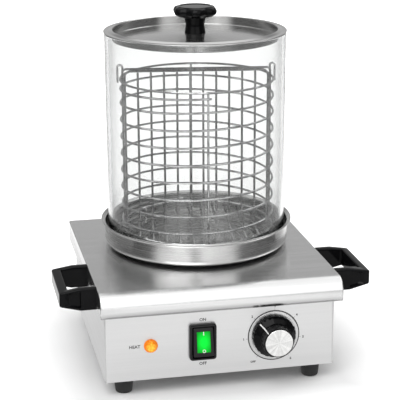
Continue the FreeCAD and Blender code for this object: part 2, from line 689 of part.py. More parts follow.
def make_bottom_plate():
    """Flat plate that closes the base, with two rows of vent slots."""
    body = start_body("bottom_plate", z="casing_bottom")
    sketch = sketch_on(body, "XY_Plane", "plate_outline")
    rectangle(sketch, f"2 * {CASING_HALF}", f"2 * {PANEL}")
    for x, y in plate_screw_places():
        circle(sketch, "small_screw_radius + fit_gap", x, y)
    for x, y in foot_places():
        circle(sketch, "large_screw_radius + fit_gap", x, y)
    pad(body, sketch, "steel_sheet")
    row = f"slot_pitch * {SLOT_COUNT - 1}"
    for index, side in enumerate((-1, 1)):
        slots = sketch_on(body, "XY_Plane", f"plate_slot{index}")
        rectangle(slots, "slot_width", "slot_length", f"-({row}) / 2", f"{side} * slot_row")
        first = pocket(body, slots, "steel_sheet", backward=True)
        pattern = body.newObject("PartDesign::LinearPattern", f"plate_slots{index}")
        pattern.Originals = [first]
        pattern.Direction = (slots, ["H_Axis"])
        pattern.Occurrences = SLOT_COUNT
        bind(pattern, Length=row)
        body.Tip = pattern
        doc.recompute()
    node(body, "bottom_plate")
    screws = [stack(f"plate_screw{index}", (("small_screw_head", "small_head_height"),
                                            ("small_screw_radius", "small_screw_length")),
                    x=x, y=y, z="casing_bottom - small_head_height")
              for index, (x, y) in enumerate(plate_screw_places())]
    node(group("bottom_plate_screws", screws), "bottom_plate_screws")


def foot_places():
    return [(f"{side} * ({CASING_HALF} - foot_inset_x)", f"{end} * ({PANEL} - foot_inset_y)")
            for end in (-1, 1) for side in (-1, 1)]


def make_feet():
    """Four rubber feet, each with a recessed screw and a nut inside the base."""
    profile = (("large_screw_radius + fit_gap", "foot_recess_depth"),
               ("foot_recess_radius", "foot_recess_depth"), ("foot_recess_radius", "0"),
               ("foot_bottom_radius", "0"), ("foot_top_radius", "casing_bottom"),
               ("large_screw_radius + fit_gap", "casing_bottom"))
    names = ("front_left", "front_right", "rear_left", "rear_right")
    screws = []
    nuts = []
    for name, (x, y) in zip(names, foot_places()):
        node(revolved(f"foot_{name}", profile, x=x, y=y), f"foot_{name}")
        screws.append(stack(f"screw_{name}", (("large_screw_head", "large_head_height"),
                                              ("large_screw_radius", "foot_screw_length")),
                            x=x, y=y, z="foot_recess_depth - large_head_height"))
        nuts.append(nut(f"nut_{name}", "nut_radius", "large_screw_radius + fit_gap",
                        "nut_height", x=x, y=y, z=PLATE_TOP))
    node(group("foot_screws", screws), "foot_screws")
    node(group("foot_nuts", nuts), "foot_nuts")


def make_handle(name, facing, x):
    """A loop handle: two arms and a grip bar, with pockets in the arms' outer faces."""
    bar_top = "-handle_bar_drop"
    bar_bottom = "-handle_bar_drop - handle_bar_height"
    body = start_body(name, x=x, y="-handle_middle", z="cover_top", facing=facing)
    profile = sketch_on(body, "XZ_Plane", name + "_profile")
    outline(profile, (("0", "-lip_height"), ("handle_block", "-lip_height"),
                      ("handle_reach", bar_bottom), ("handle_reach", bar_top),
                      ("handle_block", "0"), ("0", "0")))
    solid = pad(body, profile, "handle_length", midplane=True)
    gap = sketch_on(body, "XY_Plane", name + "_gap")
    outline(gap, (("-cut_overrun", "-handle_length / 2 + handle_arm"),
                  ("handle_reach - handle_bar", "-handle_length / 2 + handle_arm"),
                  ("handle_reach - handle_bar", "handle_length / 2 - handle_arm"),
                  ("-cut_overrun", "handle_length / 2 - handle_arm")))
    looped = pocket(body, gap, "2 * lip_height + 2 * cut_overrun", midplane=True)
    slope_low = "handle_rim + (lip_height - handle_bar_drop - handle_bar_height) / 2"
    for index, side in enumerate((-1, 1)):
        face = sketch_on(body, "XZ_Plane", f"{name}_pocket{index}")
        face.setExpression("AttachmentOffset.Base.z", bound(f"{side} * handle_length / 2"))
        outline(face, (("handle_block", "-lip_height + handle_rim + handle_rounding"),
                       ("handle_reach - handle_rim * 2", f"{bar_bottom} + handle_rim"),
                       ("handle_reach - handle_rim * 2", f"{bar_top} - handle_rim"),
                       ("handle_block", f"-({slope_low})")))
        looped = pocket(body, face, "handle_pocket", backward=side < 0)
    along = Vector(0, 1, 0)
    block_end = number("handle_block")

    def outer_edge(edge):
        middle = edge.CenterOfMass
        full = same(edge.Length, number("handle_length"))
        return runs_along(edge, along) and full and middle.x > block_end / 2

    body_place = body.Placement
    body.Placement = FreeCAD.Placement()
    rounded = round_edges(body, looped, "handle_rounding", outer_edge)
    body.Placement = body_place
    holes = sketch_on(body, "YZ_Plane", name + "_screw_holes")
    for end in (-1, 1):
        circle(holes, "large_screw_radius + fit_gap", f"{end} * (handle_length - handle_arm) / 2",
               "-lip_height / 2")
    pocket(body, holes, "handle_screw_length", backward=True)
    return node(body, name)


def make_handles():
    make_handle("handle_right", UP, "base_width / 2")
    make_handle("handle_left", turned(Vector(0, 0, 1), HALF_TURN), "-base_width / 2")
    screws = [stack(f"handle_screw{index}", (("large_screw_head", "large_head_height"),
                                             ("large_screw_radius", "handle_screw_length")),
                    x=f"{side} * (base_width / 2 - steel_sheet - large_head_height)", y=y, z=z,
                    facing=RIGHTWARD if side > 0 else LEFTWARD)
              for index, (side, y, z) in enumerate(handle_screw_places())]
    node(group("handle_screws", screws), "handle_screws")


# The bowl and what heats it

def make_bowl():
    """Spun water bowl with a flared rim, its gasket, and the ring that carries the glass."""
    wall = f"{BOWL_RADIUS} - bowl_sheet"
    rim = f"{BOWL_RIM} - bowl_sheet"
    flare = "bowl_height - bowl_flare"
    profile = (("0", "0"), (BOWL_RADIUS, "0"), (BOWL_RADIUS, flare),
               (BOWL_RIM, "bowl_height - bowl_sheet"), (BOWL_RIM, "bowl_height"),
               (rim, "bowl_height"), (wall, f"{flare} + bowl_sheet"), (wall, "bowl_sheet"),
               ("0", "bowl_sheet"))
    rounds = (("bowl_corner", BOWL_RADIUS, "0"),
              ("bowl_corner - bowl_sheet", wall, "bowl_sheet"))
    axis = {"x": "well_x", "y": "well_y"}
    node(revolved("water_bowl", profile, rounds, z=BOWL_UNDERSIDE, **axis), "water_bowl")
    node(tube("bowl_gasket", GASKET_OUTER, GASKET_INNER, "gasket_thickness", z="cover_top",
              **axis), "bowl_gasket")
    riser = f"{SEAT_RISER} - bowl_sheet"
    seat = ((SEAT_INNER, "0"), (SEAT_RISER, "0"), (SEAT_RISER, "seat_height - bowl_sheet"),
            (SEAT_OUTER, "seat_height - bowl_sheet"), (SEAT_OUTER, "seat_height"),
            (riser, "seat_height"), (riser, "bowl_sheet"), (SEAT_INNER, "bowl_sheet"))
    node(revolved("glass_seat_ring", seat, z=BOWL_FLOOR, **axis), "glass_seat_ring")


def make_heater():
    """Heating plate with its tubular element, clamped under the bowl by a stud and a bridge."""
    axis = {"x": "well_x", "y": "well_y"}
    stud_length = f"{BOWL_UNDERSIDE} - {BRIDGE_UNDERSIDE} + stud_nut_height + stud_radius"
    node(cylinder("bowl_stud", "stud_radius", stud_length, z=BOWL_UNDERSIDE, facing=DOWN, **axis),
         "bowl_stud")
    node(tube("heater_plate", HEATER_RADIUS, "stud_radius + fit_gap", "heater_thickness",
              z=HEATER_UNDERSIDE, **axis), "heater_plate")
    node(tube("heater_spacer", "spacer_radius", "stud_radius + fit_gap", "spacer_height",
              z=BRIDGE_TOP, **axis), "heater_spacer")
    node(nut("heater_nut", "stud_nut_radius", "stud_radius + fit_gap", "stud_nut_height",
             z=f"{BRIDGE_UNDERSIDE} - stud_nut_height", **axis), "heater_nut")
    ring = doc.addObject("Part::Torus", "element_ring_part")
    bind(ring, Radius1=ELEMENT_RING, Radius2="element_radius", Angle3="element_sweep")
    end = f"{ELEMENT_RING} * cos(element_sweep)", f"{ELEMENT_RING} * sin(element_sweep)"
    ends = [cylinder("element_end0", "element_radius", "terminal_drop", x=ELEMENT_RING,
                     facing=DOWN),
            cylinder("element_end1", "element_radius", "terminal_drop", x=end[0], y=end[1],
                     facing=DOWN)]
    element = joined("heating_element", [ring] + ends)
    gap = (FULL_TURN - number("element_sweep")) / 2
    place(element, z=f"{HEATER_UNDERSIDE} - element_radius - fit_gap",
          facing=turned(Vector(0, 0, 1), gap - QUARTER_TURN), **axis)
    element.setExpression("Placement.Rotation.Angle",
                          bound(f"{QUARTER_TURN} - ({FULL_TURN} - element_sweep) / 2"))
    element.setExpression("Placement.Rotation.Axis.z", "-1")
    node(element, "heating_element")
    make_bridge(axis)
    cutout = stack("thermal_cutout", (("cutout_radius", "cutout_height"),
                                      ("cutout_neck", "cutout_height")),
                   x="well_x", y=f"well_y + {SENSOR_OFFSET}", z=HEATER_UNDERSIDE, facing=DOWN)
    node(cutout, "thermal_cutout")


def make_bridge(axis):
    """Hat-shaped strap under the cover's opening, through which the stud pulls the bowl down."""
    body = start_body("heater_bridge", z=BRIDGE_UNDERSIDE, **axis)
    sketch = sketch_on(body, "XZ_Plane", "bridge_profile")
    foot_top = f"{COVER_UNDERSIDE} - {BRIDGE_UNDERSIDE}"
    leg = f"{WELL_OPENING} + 2 * bridge_sheet"
    right = ((leg, "0"), (leg, f"{foot_top} - bridge_sheet"),
             (f"{leg} + bridge_foot", f"{foot_top} - bridge_sheet"),
             (f"{leg} + bridge_foot", foot_top), (f"{leg} - bridge_sheet", foot_top),
             (f"{leg} - bridge_sheet", "bridge_sheet"))
    left = tuple((f"-({u})", v) for u, v in reversed(right))
    outline(sketch, right + left)
    pad(body, sketch, "bridge_width", midplane=True)
    hole = sketch_on(body, "XY_Plane", "bridge_hole")
    circle(hole, "stud_radius + fit_gap")
    pocket(body, hole, "bridge_sheet", backward=True)
    node(body, "heater_bridge")


# The glass, the lid and its knob

def make_glass():
    """Open glass cylinder with polished edges."""
    inner = "glass_radius - glass_wall"
    profile = ((f"{inner} + glass_edge", "0"), ("glass_radius - glass_edge", "0"),
               ("glass_radius", "glass_edge"), ("glass_radius", f"{GLASS_HEIGHT} - glass_edge"),
               ("glass_radius - glass_edge", GLASS_HEIGHT), (f"{inner} + glass_edge", GLASS_HEIGHT),
               (inner, f"{GLASS_HEIGHT} - glass_edge"), (inner, "glass_edge"))
    glass = revolved("glass_cylinder", profile, x="well_x", y="well_y", z=GLASS_BOTTOM)
    node(glass, "glass_cylinder")


def make_lid():
    """Pressed lid with a sunk, domed pan, and a knob held by a screw from below."""
    axis = {"x": "well_x", "y": "well_y"}
    inner = f"{LID_PAN} - lid_sheet"
    hole = "knob_screw_radius + fit_gap"
    crown = "lid_dome - lid_depth"
    pan = ((hole, crown), ("lid_seat_radius", crown), (LID_PAN, "-lid_depth"),
           (LID_PAN, "-lid_sheet"), (LID_RADIUS, "-lid_sheet"), (LID_RADIUS, "0"), (inner, "0"),
           (inner, "lid_sheet - lid_depth"), ("lid_seat_radius", f"{crown} + lid_sheet"),
           (hole, f"{crown} + lid_sheet"))
    rounds = (("lid_corner", LID_PAN, "-lid_depth"),
              ("lid_corner - lid_sheet", inner, "lid_sheet - lid_depth"),
              ("lid_sheet / 2.5", inner, "0"))
    node(revolved("lid_pan", pan, rounds, z=LID_TOP, **axis), "lid_pan")
    floor = f"{LID_TOP} + {crown} + lid_sheet"
    grip = "knob_screw_length - knob_washer_thickness - lid_sheet + fit_gap"
    knob = (("knob_foot_radius", "0"), ("knob_waist_radius", "knob_neck_height / 2"),
            ("knob_neck_radius", "knob_neck_height"),
            ("knob_head_radius - knob_edge / 2", "knob_neck_height + knob_edge / 4"),
            ("knob_head_radius", "knob_neck_height + knob_edge"),
            ("knob_rim_radius + knob_edge / 3", "knob_height - knob_edge / 3"),
            ("knob_rim_radius", "knob_height"), ("knob_dish_radius", "knob_height"),
            ("knob_dish_radius - knob_dish_depth", "knob_height - knob_dish_depth"),
            ("0", "knob_height - knob_dish_depth"), ("0", grip), (hole, grip), (hole, "0"))
    rounds = (("knob_edge / 2", "knob_head_radius", "knob_neck_height + knob_edge"),
              ("2 * knob_edge", "knob_waist_radius", "knob_neck_height / 2"),
              ("knob_edge / 4", "knob_head_radius - knob_edge / 2", "knob_neck_height + knob_edge / 4"),
              ("knob_edge / 4", "knob_rim_radius + knob_edge / 3", "knob_height - knob_edge / 3"))
    node(revolved("lid_knob", knob, rounds, z=floor, **axis), "lid_knob")
    underside = f"{LID_TOP} + {crown}"
    node(tube("lid_knob_washer", "knob_washer_radius", hole, "knob_washer_thickness",
              z=f"{underside} - knob_washer_thickness", **axis), "lid_knob_washer")
    node(stack("lid_knob_screw", (("knob_screw_head", "knob_head_height"),
                                  ("knob_screw_radius", "knob_screw_length")),
               z=f"{underside} - knob_washer_thickness - knob_head_height", **axis),
         "lid_knob_screw")


# The wire basket: its own frame stands on its feet, with the partition along X

def in_basket(members, label):
    """Group wires of the basket in one node, turned and placed with the basket."""
    wires = group(label, members)
    place(wires, x="well_x", y="well_y", z=BASKET_FEET,
          facing=turned(Vector(0, 0, 1), number("basket_turn")))
    wires.setExpression("Placement.Rotation.Angle", bound("abs(basket_turn)"))
    return node(wires, label)


def ring_wire(name, height):
    ring = doc.addObject("Part::Torus", name)
    bind(ring, Radius1=BASKET_RADIUS, Radius2="wire_radius")
    return place(ring, z=height)


def coil_edges(start_angle, start_height, pitch, radius, quarters):
    """Pairs of tangent arcs that follow a falling helix, a quarter turn at a time."""
    def on_helix(quarter):
        angle = math.radians(start_angle - QUARTER_TURN * quarter)
        point = Vector(radius * math.cos(angle), radius * math.sin(angle),
                       start_height - pitch * quarter / 4)
        heading = Vector(math.sin(angle), -math.cos(angle), -pitch / (ROUND * radius))
        return point, heading.normalize()

    edges = []
    for quarter in range(quarters):
        start, leaving = on_helix(quarter)
        end, arriving = on_helix(quarter + 1)
        chord = end - start
        both = leaving + arriving
        spread = 2 * (1 - leaving.dot(arriving))
        lean = chord.dot(both)
        reach = (-lean + math.sqrt(lean ** 2 + spread * chord.dot(chord))) / spread
        joint = (start + leaving * reach + end - arriving * reach) * 0.5
        edges.append(tangent_arc(start, leaving, joint))
        turn = (end - arriving * reach - joint).normalize()
        edges.append(tangent_arc(joint, turn, end))
    return edges


def make_coil():
    """One long wire wound round the basket, with a tighter first turn."""
    radius = number(BASKET_RADIUS)
    top = number("basket_height - coil_drop")
    first_pitch = number("coil_first_pitch")
    pitch = number("coil_pitch")
    start = number("coil_start")
    last = number(f"{FLOOR_RING} + {WIRE_STEP}")
    quarters = int(4 * (top - first_pitch - last) / pitch)
    edges = coil_edges(start, top, first_pitch, radius, 4)
    edges += coil_edges(start, top - first_pitch, pitch, radius, quarters)
    coil = feature("coil_wire", swept(Part.Wire(edges), number("wire_radius")))
    in_basket([coil], "basket_coil")


def make_basket_frame():
    """The rings, the two uprights, the floor wires and the legs."""
    in_basket([ring_wire("top_ring", "basket_height")], "basket_top_ring")
    in_basket([ring_wire("floor_ring", FLOOR_RING)], "basket_floor_ring")
    height = f"basket_height + wire_radius - {WIRE_FOOT}"
    uprights = [cylinder(f"upright{index}", "wire_radius", height,
                         x=f"{INNER_WIRE} * cos({angle})", y=f"{INNER_WIRE} * sin({angle})",
                         z=WIRE_FOOT)
                for index, angle in enumerate(("front_upright_angle", "back_upright_angle"))]
    in_basket(uprights, "basket_uprights")
    floor_wires = []
    for index, x in enumerate(partition_places()):
        reach = f"sqrt({BASKET_RADIUS} ^ 2 - ({x}) ^ 2)"
        floor_wires.append(cylinder(f"floor_wire{index}", "wire_radius", f"2 * {reach}", x=x,
                                    y=f"-{reach}", z="basket_floor", facing=BACKWARD))
    in_basket(floor_wires, "basket_floor_wires")
    leg_x = f"{LEG_GAP_COUNT} * {PARTITION_PITCH}"
    leg_y = f"sqrt({INNER_WIRE} ^ 2 - ({leg_x}) ^ 2)"
    legs = [cylinder(f"leg{index}", "wire_radius", f"{FLOOR_RING} + wire_radius",
                     x=f"{side} * {leg_x}", y=f"{end} * {leg_y}")
            for index, (side, end) in enumerate(((-1, -1), (-1, 1), (1, -1), (1, 1)))]
    in_basket(legs, "basket_legs")


def partition_places():
    """x of each upright wire of the partition."""
    return [f"{PARTITION_PITCH} * {(2 * index - WIRE_GAP_COUNT) / 2}" for index in range(1, WIRE_GAP_COUNT)]


def arch(name, half_span, height, bend):
    """An upside-down U of wire, in the partition's plane."""
    corners = ((f"-{half_span}", "0", WIRE_FOOT), (f"-{half_span}", "0", height),
               (half_span, "0", height), (half_span, "0", WIRE_FOOT))
    return bent_wire(name, corners, bend, "wire_radius")


def make_partition():
    """Two nested arches, the upright wires between them and a lifting ear at each end."""
    in_basket([arch("rail_wire", INNER_WIRE, RAIL_HEIGHT, "rail_bend")], "basket_rail")
    in_basket([arch("frame_wire", FRAME_WIRE, FRAME_HEIGHT, "frame_bend")], "basket_partition_frame")
    wire_height = f"{FRAME_HEIGHT} - wire_radius - fit_gap - {WIRE_FOOT}"
    wires = [cylinder(f"partition_wire{index}", "wire_radius", wire_height, x=x, z=WIRE_FOOT)
             for index, x in enumerate(partition_places())]
    in_basket(wires, "basket_partition_wires")
    ears = []
    bend = "ear_spread / 2 - fit_gap"
    top = f"{RAIL_HEIGHT} + ear_rise"
    inner = f"sqrt({INNER_WIRE} ^ 2 - {WIRE_STEP} ^ 2)"
    outer = f"({inner} + ear_spread)"
    for index, side in enumerate((-1, 1)):
        corners = ((f"{side} * {inner}", WIRE_STEP, f"{RAIL_HEIGHT} - ear_root"),
                   (f"{side} * {inner}", WIRE_STEP, top), (f"{side} * {outer}", WIRE_STEP, top),
                   (f"{side} * {outer}", WIRE_STEP, f"{top} - ear_length"))
        ears.append(bent_wire(f"ear{index}", corners, bend, "wire_radius"))
    in_basket(ears, "basket_ears")


# The controls on the front panel and the thermostat behind it

def thermostat_screw_places():
    return [f"dial_x + {side} * thermostat_screw_pitch / 2" for side in (-1, 1)]


def make_dial():
    """Dial with a metal cap and a pointer line, on the thermostat's shaft."""
    where = {"x": "dial_x", "y": f"-{PANEL}", "z": "dial_z"}
    bore = "shaft_radius + fit_gap"
    grip_end = "control_reach - dial_cap_proud"
    cap_seat = "control_reach - dial_cap_thickness"
    root = "dial_skirt + dial_radius - dial_grip_root"
    shaft_end = f"{cap_seat} - steel_sheet * 2"
    seat = "dial_cap_radius + fit_gap"
    profile = ((bore, "dial_hollow"), ("dial_shoulder", "dial_hollow"),
               ("dial_shoulder", "dial_clearance"), ("dial_radius", "dial_clearance"),
               ("dial_radius", "dial_skirt"),
               ("dial_shoulder", "dial_skirt + dial_radius - dial_shoulder"),
               ("dial_grip_root", root), ("dial_grip_tip", grip_end), (seat, grip_end),
               (seat, cap_seat), ("0", cap_seat), ("0", shaft_end), (bore, shaft_end))
    rounds = (("dial_clearance", "dial_radius", "dial_skirt"),)
    node(revolved("dial_knob", profile, rounds, facing=FORWARD, **where), "dial_knob")
    cap = (("0", cap_seat), ("dial_cap_radius", cap_seat),
           ("dial_cap_radius", "control_reach - dial_cap_proud / 2"),
           ("dial_cap_radius - dial_cap_proud / 2", "control_reach"), ("0", "control_reach"))
    node(revolved("dial_cap", cap, facing=FORWARD, **where), "dial_cap")
    make_pointer(where, root, grip_end)
    shaft = cylinder("thermostat_shaft", "shaft_radius", f"{shaft_end} - fit_gap + shaft_depth",
                     x="dial_x", y=f"-{PANEL} + shaft_depth", z="dial_z", facing=FORWARD)
    node(shaft, "thermostat_shaft")
    node(tube("dial_trim_ring", "trim_outer", "trim_inner", "trim_thickness", facing=FORWARD,
              **where), "dial_trim_ring")


def make_pointer(where, root, grip_end):
    """Raised line that follows the dial's shoulder and grip in the pointer's direction."""
    turn = FORWARD.multiply(turned(Vector(0, 0, 1), number("dial_angle")))
    body = start_body("dial_pointer", facing=turn, **where)
    sketch = sketch_on(body, "XZ_Plane", "pointer_profile")
    shoulder = "dial_skirt + dial_radius - dial_shoulder"
    outline(sketch, (("dial_shoulder + fit_gap", shoulder), ("dial_grip_root + fit_gap", root),
                     ("dial_grip_tip + fit_gap", grip_end),
                     ("dial_grip_tip + pointer_proud", grip_end),
                     ("dial_grip_root + pointer_proud", f"{root} + pointer_proud"),
                     ("dial_shoulder + pointer_proud", f"{shoulder} + pointer_proud")))
    pad(body, sketch, "pointer_width", midplane=True)
    node(body, "dial_pointer")


def make_thermostat():
    """Capillary thermostat behind the dial, with its bulb under the heating plate."""
    inside = f"-{PANEL} + steel_sheet"
    case = block("thermostat_case", "thermostat_size", "thermostat_depth", "thermostat_size",
                 x="dial_x", y=f"{inside} + thermostat_depth / 2",
                 z="dial_z - thermostat_size / 2")
    bores = [cylinder("thermostat_bore", "shaft_radius + fit_gap", "shaft_depth + cut_overrun",
                      x="dial_x", y=f"{inside} + shaft_depth", z="dial_z", facing=FORWARD)]
    bores += [cylinder(f"thermostat_thread{index}", "small_screw_radius + fit_gap",
                       "small_screw_length + cut_overrun", x=x,
                       y=f"{inside} + small_screw_length", z="dial_z", facing=FORWARD)
              for index, x in enumerate(thermostat_screw_places())]
    node(cut("thermostat_body", case, bores), "thermostat_body")
    screws = [stack(f"thermostat_screw{index}", (("small_screw_head", "small_head_height"),
                                                 ("small_screw_radius", "small_screw_length")),
                    x=x, y=f"-{PANEL} - small_head_height", z="dial_z", facing=BACKWARD)
              for index, x in enumerate(thermostat_screw_places())]
    node(group("thermostat_screws", screws), "thermostat_screws")
    bulb_x = f"well_x - {SENSOR_OFFSET}"
    bulb_z = f"{HEATER_UNDERSIDE} - bulb_radius - fit_gap"
    bulb = cylinder("bulb_tube", "bulb_radius", BULB_LENGTH, x=bulb_x,
                    y=f"well_y - {BULB_LENGTH} / 2", z=bulb_z, facing=BACKWARD)
    low = f"{BOWL_UNDERSIDE} - capillary_depth"
    start_y = f"well_y - {BULB_LENGTH} / 2"
    corners = ((bulb_x, start_y, bulb_z),
               (bulb_x, f"{start_y} - 1.5 * capillary_bend", bulb_z),
               (bulb_x, f"{start_y} - 1.5 * capillary_bend", low),
               (bulb_x, f"{start_y} - {ELEMENT_RING}", low),
               ("dial_x", f"{inside} + thermostat_depth / 2", low),
               ("dial_x", f"{inside} + thermostat_depth / 2", "dial_z + thermostat_size / 2"))
    capillary = bent_wire("capillary_tube", corners, "capillary_bend", "capillary_radius")
    node(joined("thermostat_bulb", [bulb, capillary]), "thermostat_bulb")


def make_switch():
    """Rocker switch: frame with a collar, rocker on pivot pins, lens and contact block."""
    body = start_body("switch_frame", x="switch_x", y=f"-{PANEL}", z="switch_z", facing=FORWARD)
    bezel = sketch_on(body, "XY_Plane", "bezel_outline")
    rectangle(bezel, "switch_width", "switch_height")
    solid = pad(body, bezel, "switch_proud")
    rounded = round_edges(body, solid, "switch_corner",
                          lambda edge: runs_along(edge, Vector(0, 0, 1)))
    body_place = body.Placement
    body.Placement = FreeCAD.Placement()
    front = number("switch_proud")
    round_edges(body, rounded, "switch_corner / 2", lambda edge: same(edge.CenterOfMass.z, front))
    body.Placement = body_place
    collar = sketch_on(body, "XY_Plane", "collar_outline")
    rectangle(collar, COLLAR_WIDTH, COLLAR_HEIGHT)
    pad(body, collar, "switch_depth", backward=True)
    opening = sketch_on(body, "XY_Plane", "switch_opening")
    rectangle(opening, OPENING_WIDTH, OPENING_HEIGHT)
    pocket(body, opening, "2 * (switch_depth + switch_proud)", midplane=True)
    pins = sketch_on(body, "YZ_Plane", "pivot_holes")
    circle(pins, "pivot_radius + fit_gap", "0", "-pivot_depth")
    pocket(body, pins, f"{COLLAR_WIDTH} - fit_gap", midplane=True)
    node(body, "switch_frame")
    make_rocker()
    case = block("contact_block", f"{OPENING_WIDTH} - 2 * fit_gap", "contact_depth",
                 f"{OPENING_HEIGHT} - 2 * fit_gap", x="switch_x",
                 y=f"-{PANEL} + {CONTACT_FRONT} + contact_depth / 2",
                 z=f"switch_z - {OPENING_HEIGHT} / 2 + fit_gap")
    node(case, "switch_body")
    blades = [block(f"blade{index}", "blade_width", "blade_length", "blade_sheet",
                    x=f"switch_x + {side} * blade_pitch_x / 2",
                    y=f"-{PANEL} + {CONTACT_FRONT} + contact_depth + blade_length / 2",
                    z=f"switch_z + {end} * blade_pitch_z / 2")
              for index, (side, end) in enumerate(((-1, -1), (-1, 1), (1, -1), (1, 1)))]
    node(group("switch_terminals", blades), "switch_terminals")


def rocker_place():
    """Place of the rocker's pivot, with its face tilted to the on position."""
    tilt = turned(Vector(1, 0, 0), QUARTER_TURN - number("rocker_tilt"))
    return {"x": "switch_x", "y": f"-{PANEL} + pivot_depth", "z": "switch_z", "facing": tilt}


def tie_tilt(body):
    body.setExpression("Placement.Rotation.Angle", bound(f"{QUARTER_TURN} - rocker_tilt"))


def make_rocker():
    """Rocker with pivot pins and a recess for its lens, tilted with its upper half pressed in."""
    body = start_body("switch_rocker", **rocker_place())
    tie_tilt(body)
    side = sketch_on(body, "YZ_Plane", "rocker_profile")
    half = "rocker_height / 2"
    outline(side, ((f"-{half}", "-pivot_depth"), ("-rocker_root / 2", "-rocker_back"),
                   ("rocker_root / 2", "-rocker_back"), (half, "-pivot_depth"),
                   (half, "rocker_front"), (f"-{half}", "rocker_front")))
    solid = pad(body, side, "rocker_width", midplane=True)
    body_place = body.Placement
    body.Placement = FreeCAD.Placement()
    front = number("rocker_front")
    round_edges(body, solid, "rocker_rounding", lambda edge: same(edge.CenterOfMass.z, front))
    body.Placement = body_place
    pins = sketch_on(body, "YZ_Plane", "rocker_pins")
    circle(pins, "pivot_radius")
    pad(body, pins, f"{COLLAR_WIDTH} - 4 * fit_gap", midplane=True)
    recess = sketch_on(body, "XY_Plane", "lens_recess")
    recess.setExpression("AttachmentOffset.Base.z", bound("rocker_front"))
    rectangle(recess, "lens_width", "lens_height")
    pocket(body, recess, "lens_depth")
    node(body, "switch_rocker")
    lens = start_body("rocker_lens", **rocker_place())
    tie_tilt(lens)
    slab = sketch_on(lens, "XY_Plane", "lens_outline")
    slab.setExpression("AttachmentOffset.Base.z", bound("rocker_front - lens_depth"))
    rectangle(slab, "lens_width - 2 * fit_gap", "lens_height - 2 * fit_gap")
    pad(lens, slab, "lens_depth + lens_proud")
    node(lens, "rocker_lens")


def make_lamp():
    """Pilot lamp: domed lens on the panel, body through it and a nut behind."""
    where = {"x": "lamp_x", "y": f"-{PANEL}", "z": "lamp_z"}
    dome = "lamp_flange + lamp_dome"
    shoulder = "lamp_radius - lamp_flange / 2"
    profile = (("0", "0"), ("lamp_radius", "0"), ("lamp_radius", "lamp_flange"),
               (shoulder, "lamp_flange"), ("lamp_crown_radius", dome), ("0", dome))
    rounds = (("lamp_crown_radius / 2", "lamp_crown_radius", dome),)
    node(revolved("lamp_lens", profile, rounds, facing=FORWARD, **where), "lamp_lens")
    node(cylinder("lamp_body", "lamp_tube_radius", "lamp_tube_length", facing=BACKWARD, **where),
         "lamp_body")
    node(nut("lamp_nut", "lamp_nut_radius", "lamp_tube_radius + fit_gap", "lamp_nut_height",
             x="lamp_x", y=f"-{PANEL} + steel_sheet", z="lamp_z", facing=BACKWARD), "lamp_nut")


# The cable entry and the terminals

def make_cable_gland():
    """Cable gland in the rear panel: body, cap and nut, with a clear bore."""
    where = {"x": GLAND_X, "y": PANEL, "z": "gland_z", "facing": BACKWARD}
    hexagon = prism("gland_hexagon_part", "gland_hexagon", "gland_hexagon_height")
    barrel = cylinder("gland_barrel_part", "gland_barrel", "gland_barrel_length + cut_overrun",
                      z="-gland_barrel_length")
    bore = cylinder("gland_bore_part", "gland_bore", "2 * (gland_barrel_length + control_reach)",
                    z="-gland_barrel_length - control_reach")
    body = cut("cable_gland_body", joined("gland_solid", [hexagon, barrel]), [bore])
    node(place(body, **where), "cable_gland_body")
    neck = "control_reach - gland_hexagon_height"
    cap = (("gland_bore", "gland_hexagon_height"), ("gland_cap_radius", "gland_hexagon_height"),
           ("gland_cap_radius", f"gland_hexagon_height + ({neck}) / 2"),
           ("gland_mouth_radius", "control_reach"), ("gland_bore", "control_reach"))
    rounds = (("gland_mouth_radius / 2", "gland_cap_radius", f"gland_hexagon_height + ({neck}) / 2"),)
    node(revolved("cable_gland_cap", cap, rounds, **where), "cable_gland_cap")
    node(nut("cable_gland_nut", "gland_hexagon", "gland_barrel + fit_gap", "gland_nut_height",
             x=GLAND_X, y=f"{PANEL} - steel_sheet", z="gland_z", facing=FORWARD),
         "cable_gland_nut")


def make_terminals():
    """Terminal block and earth screw on the bottom plate."""
    case = block("terminal_block", "block_width", "block_depth", "block_height", x=BLOCK_X,
                 y="block_y", z=PLATE_TOP)
    node(case, "terminal_block")
    screws = [stack(f"terminal_screw{index}", (("small_screw_radius", "small_head_height"),
                                               ("small_screw_head", "small_head_height")),
                    x=f"{BLOCK_X} + {step} * block_pitch", y="block_y",
                    z=f"{PLATE_TOP} + block_height")
              for index, step in enumerate((-1, 0, 1))]
    node(group("terminal_screws", screws), "terminal_screws")
    earth = stack("earth_screw", (("large_screw_head", "large_head_height"),
                                  ("large_screw_radius", "earth_length")),
                  x=EARTH_X, y="earth_y", z=PLATE_TOP)
    node(earth, "earth_screw")


# Building, checking and writing

def check_document():
    """Stop if any object failed or any piece is empty or invalid."""
    for thing in doc.Objects:
        if "Invalid" in thing.State or "Error" in thing.State:
            raise RuntimeError(f"{thing.Name} failed: {thing.State}")
    for piece in nodes:
        if piece.Shape.isNull() or not piece.Shape.isValid() or not piece.Shape.Solids:
            raise RuntimeError(f"{piece.Label} has no valid solid")


def write_parts():
    os.makedirs("parts", exist_ok=True)
    for piece in nodes:
        piece.Shape.exportStep(f"parts/{piece.Label}.step")
        box = piece.Shape.BoundBox
        print(f"{piece.Label:26s} solids {len(piece.Shape.Solids):3d}  "
              f"x {box.XMin:7.1f} {box.XMax:7.1f}  y {box.YMin:7.1f} {box.YMax:7.1f}  "
              f"z {box.ZMin:7.1f} {box.ZMax:7.1f}")


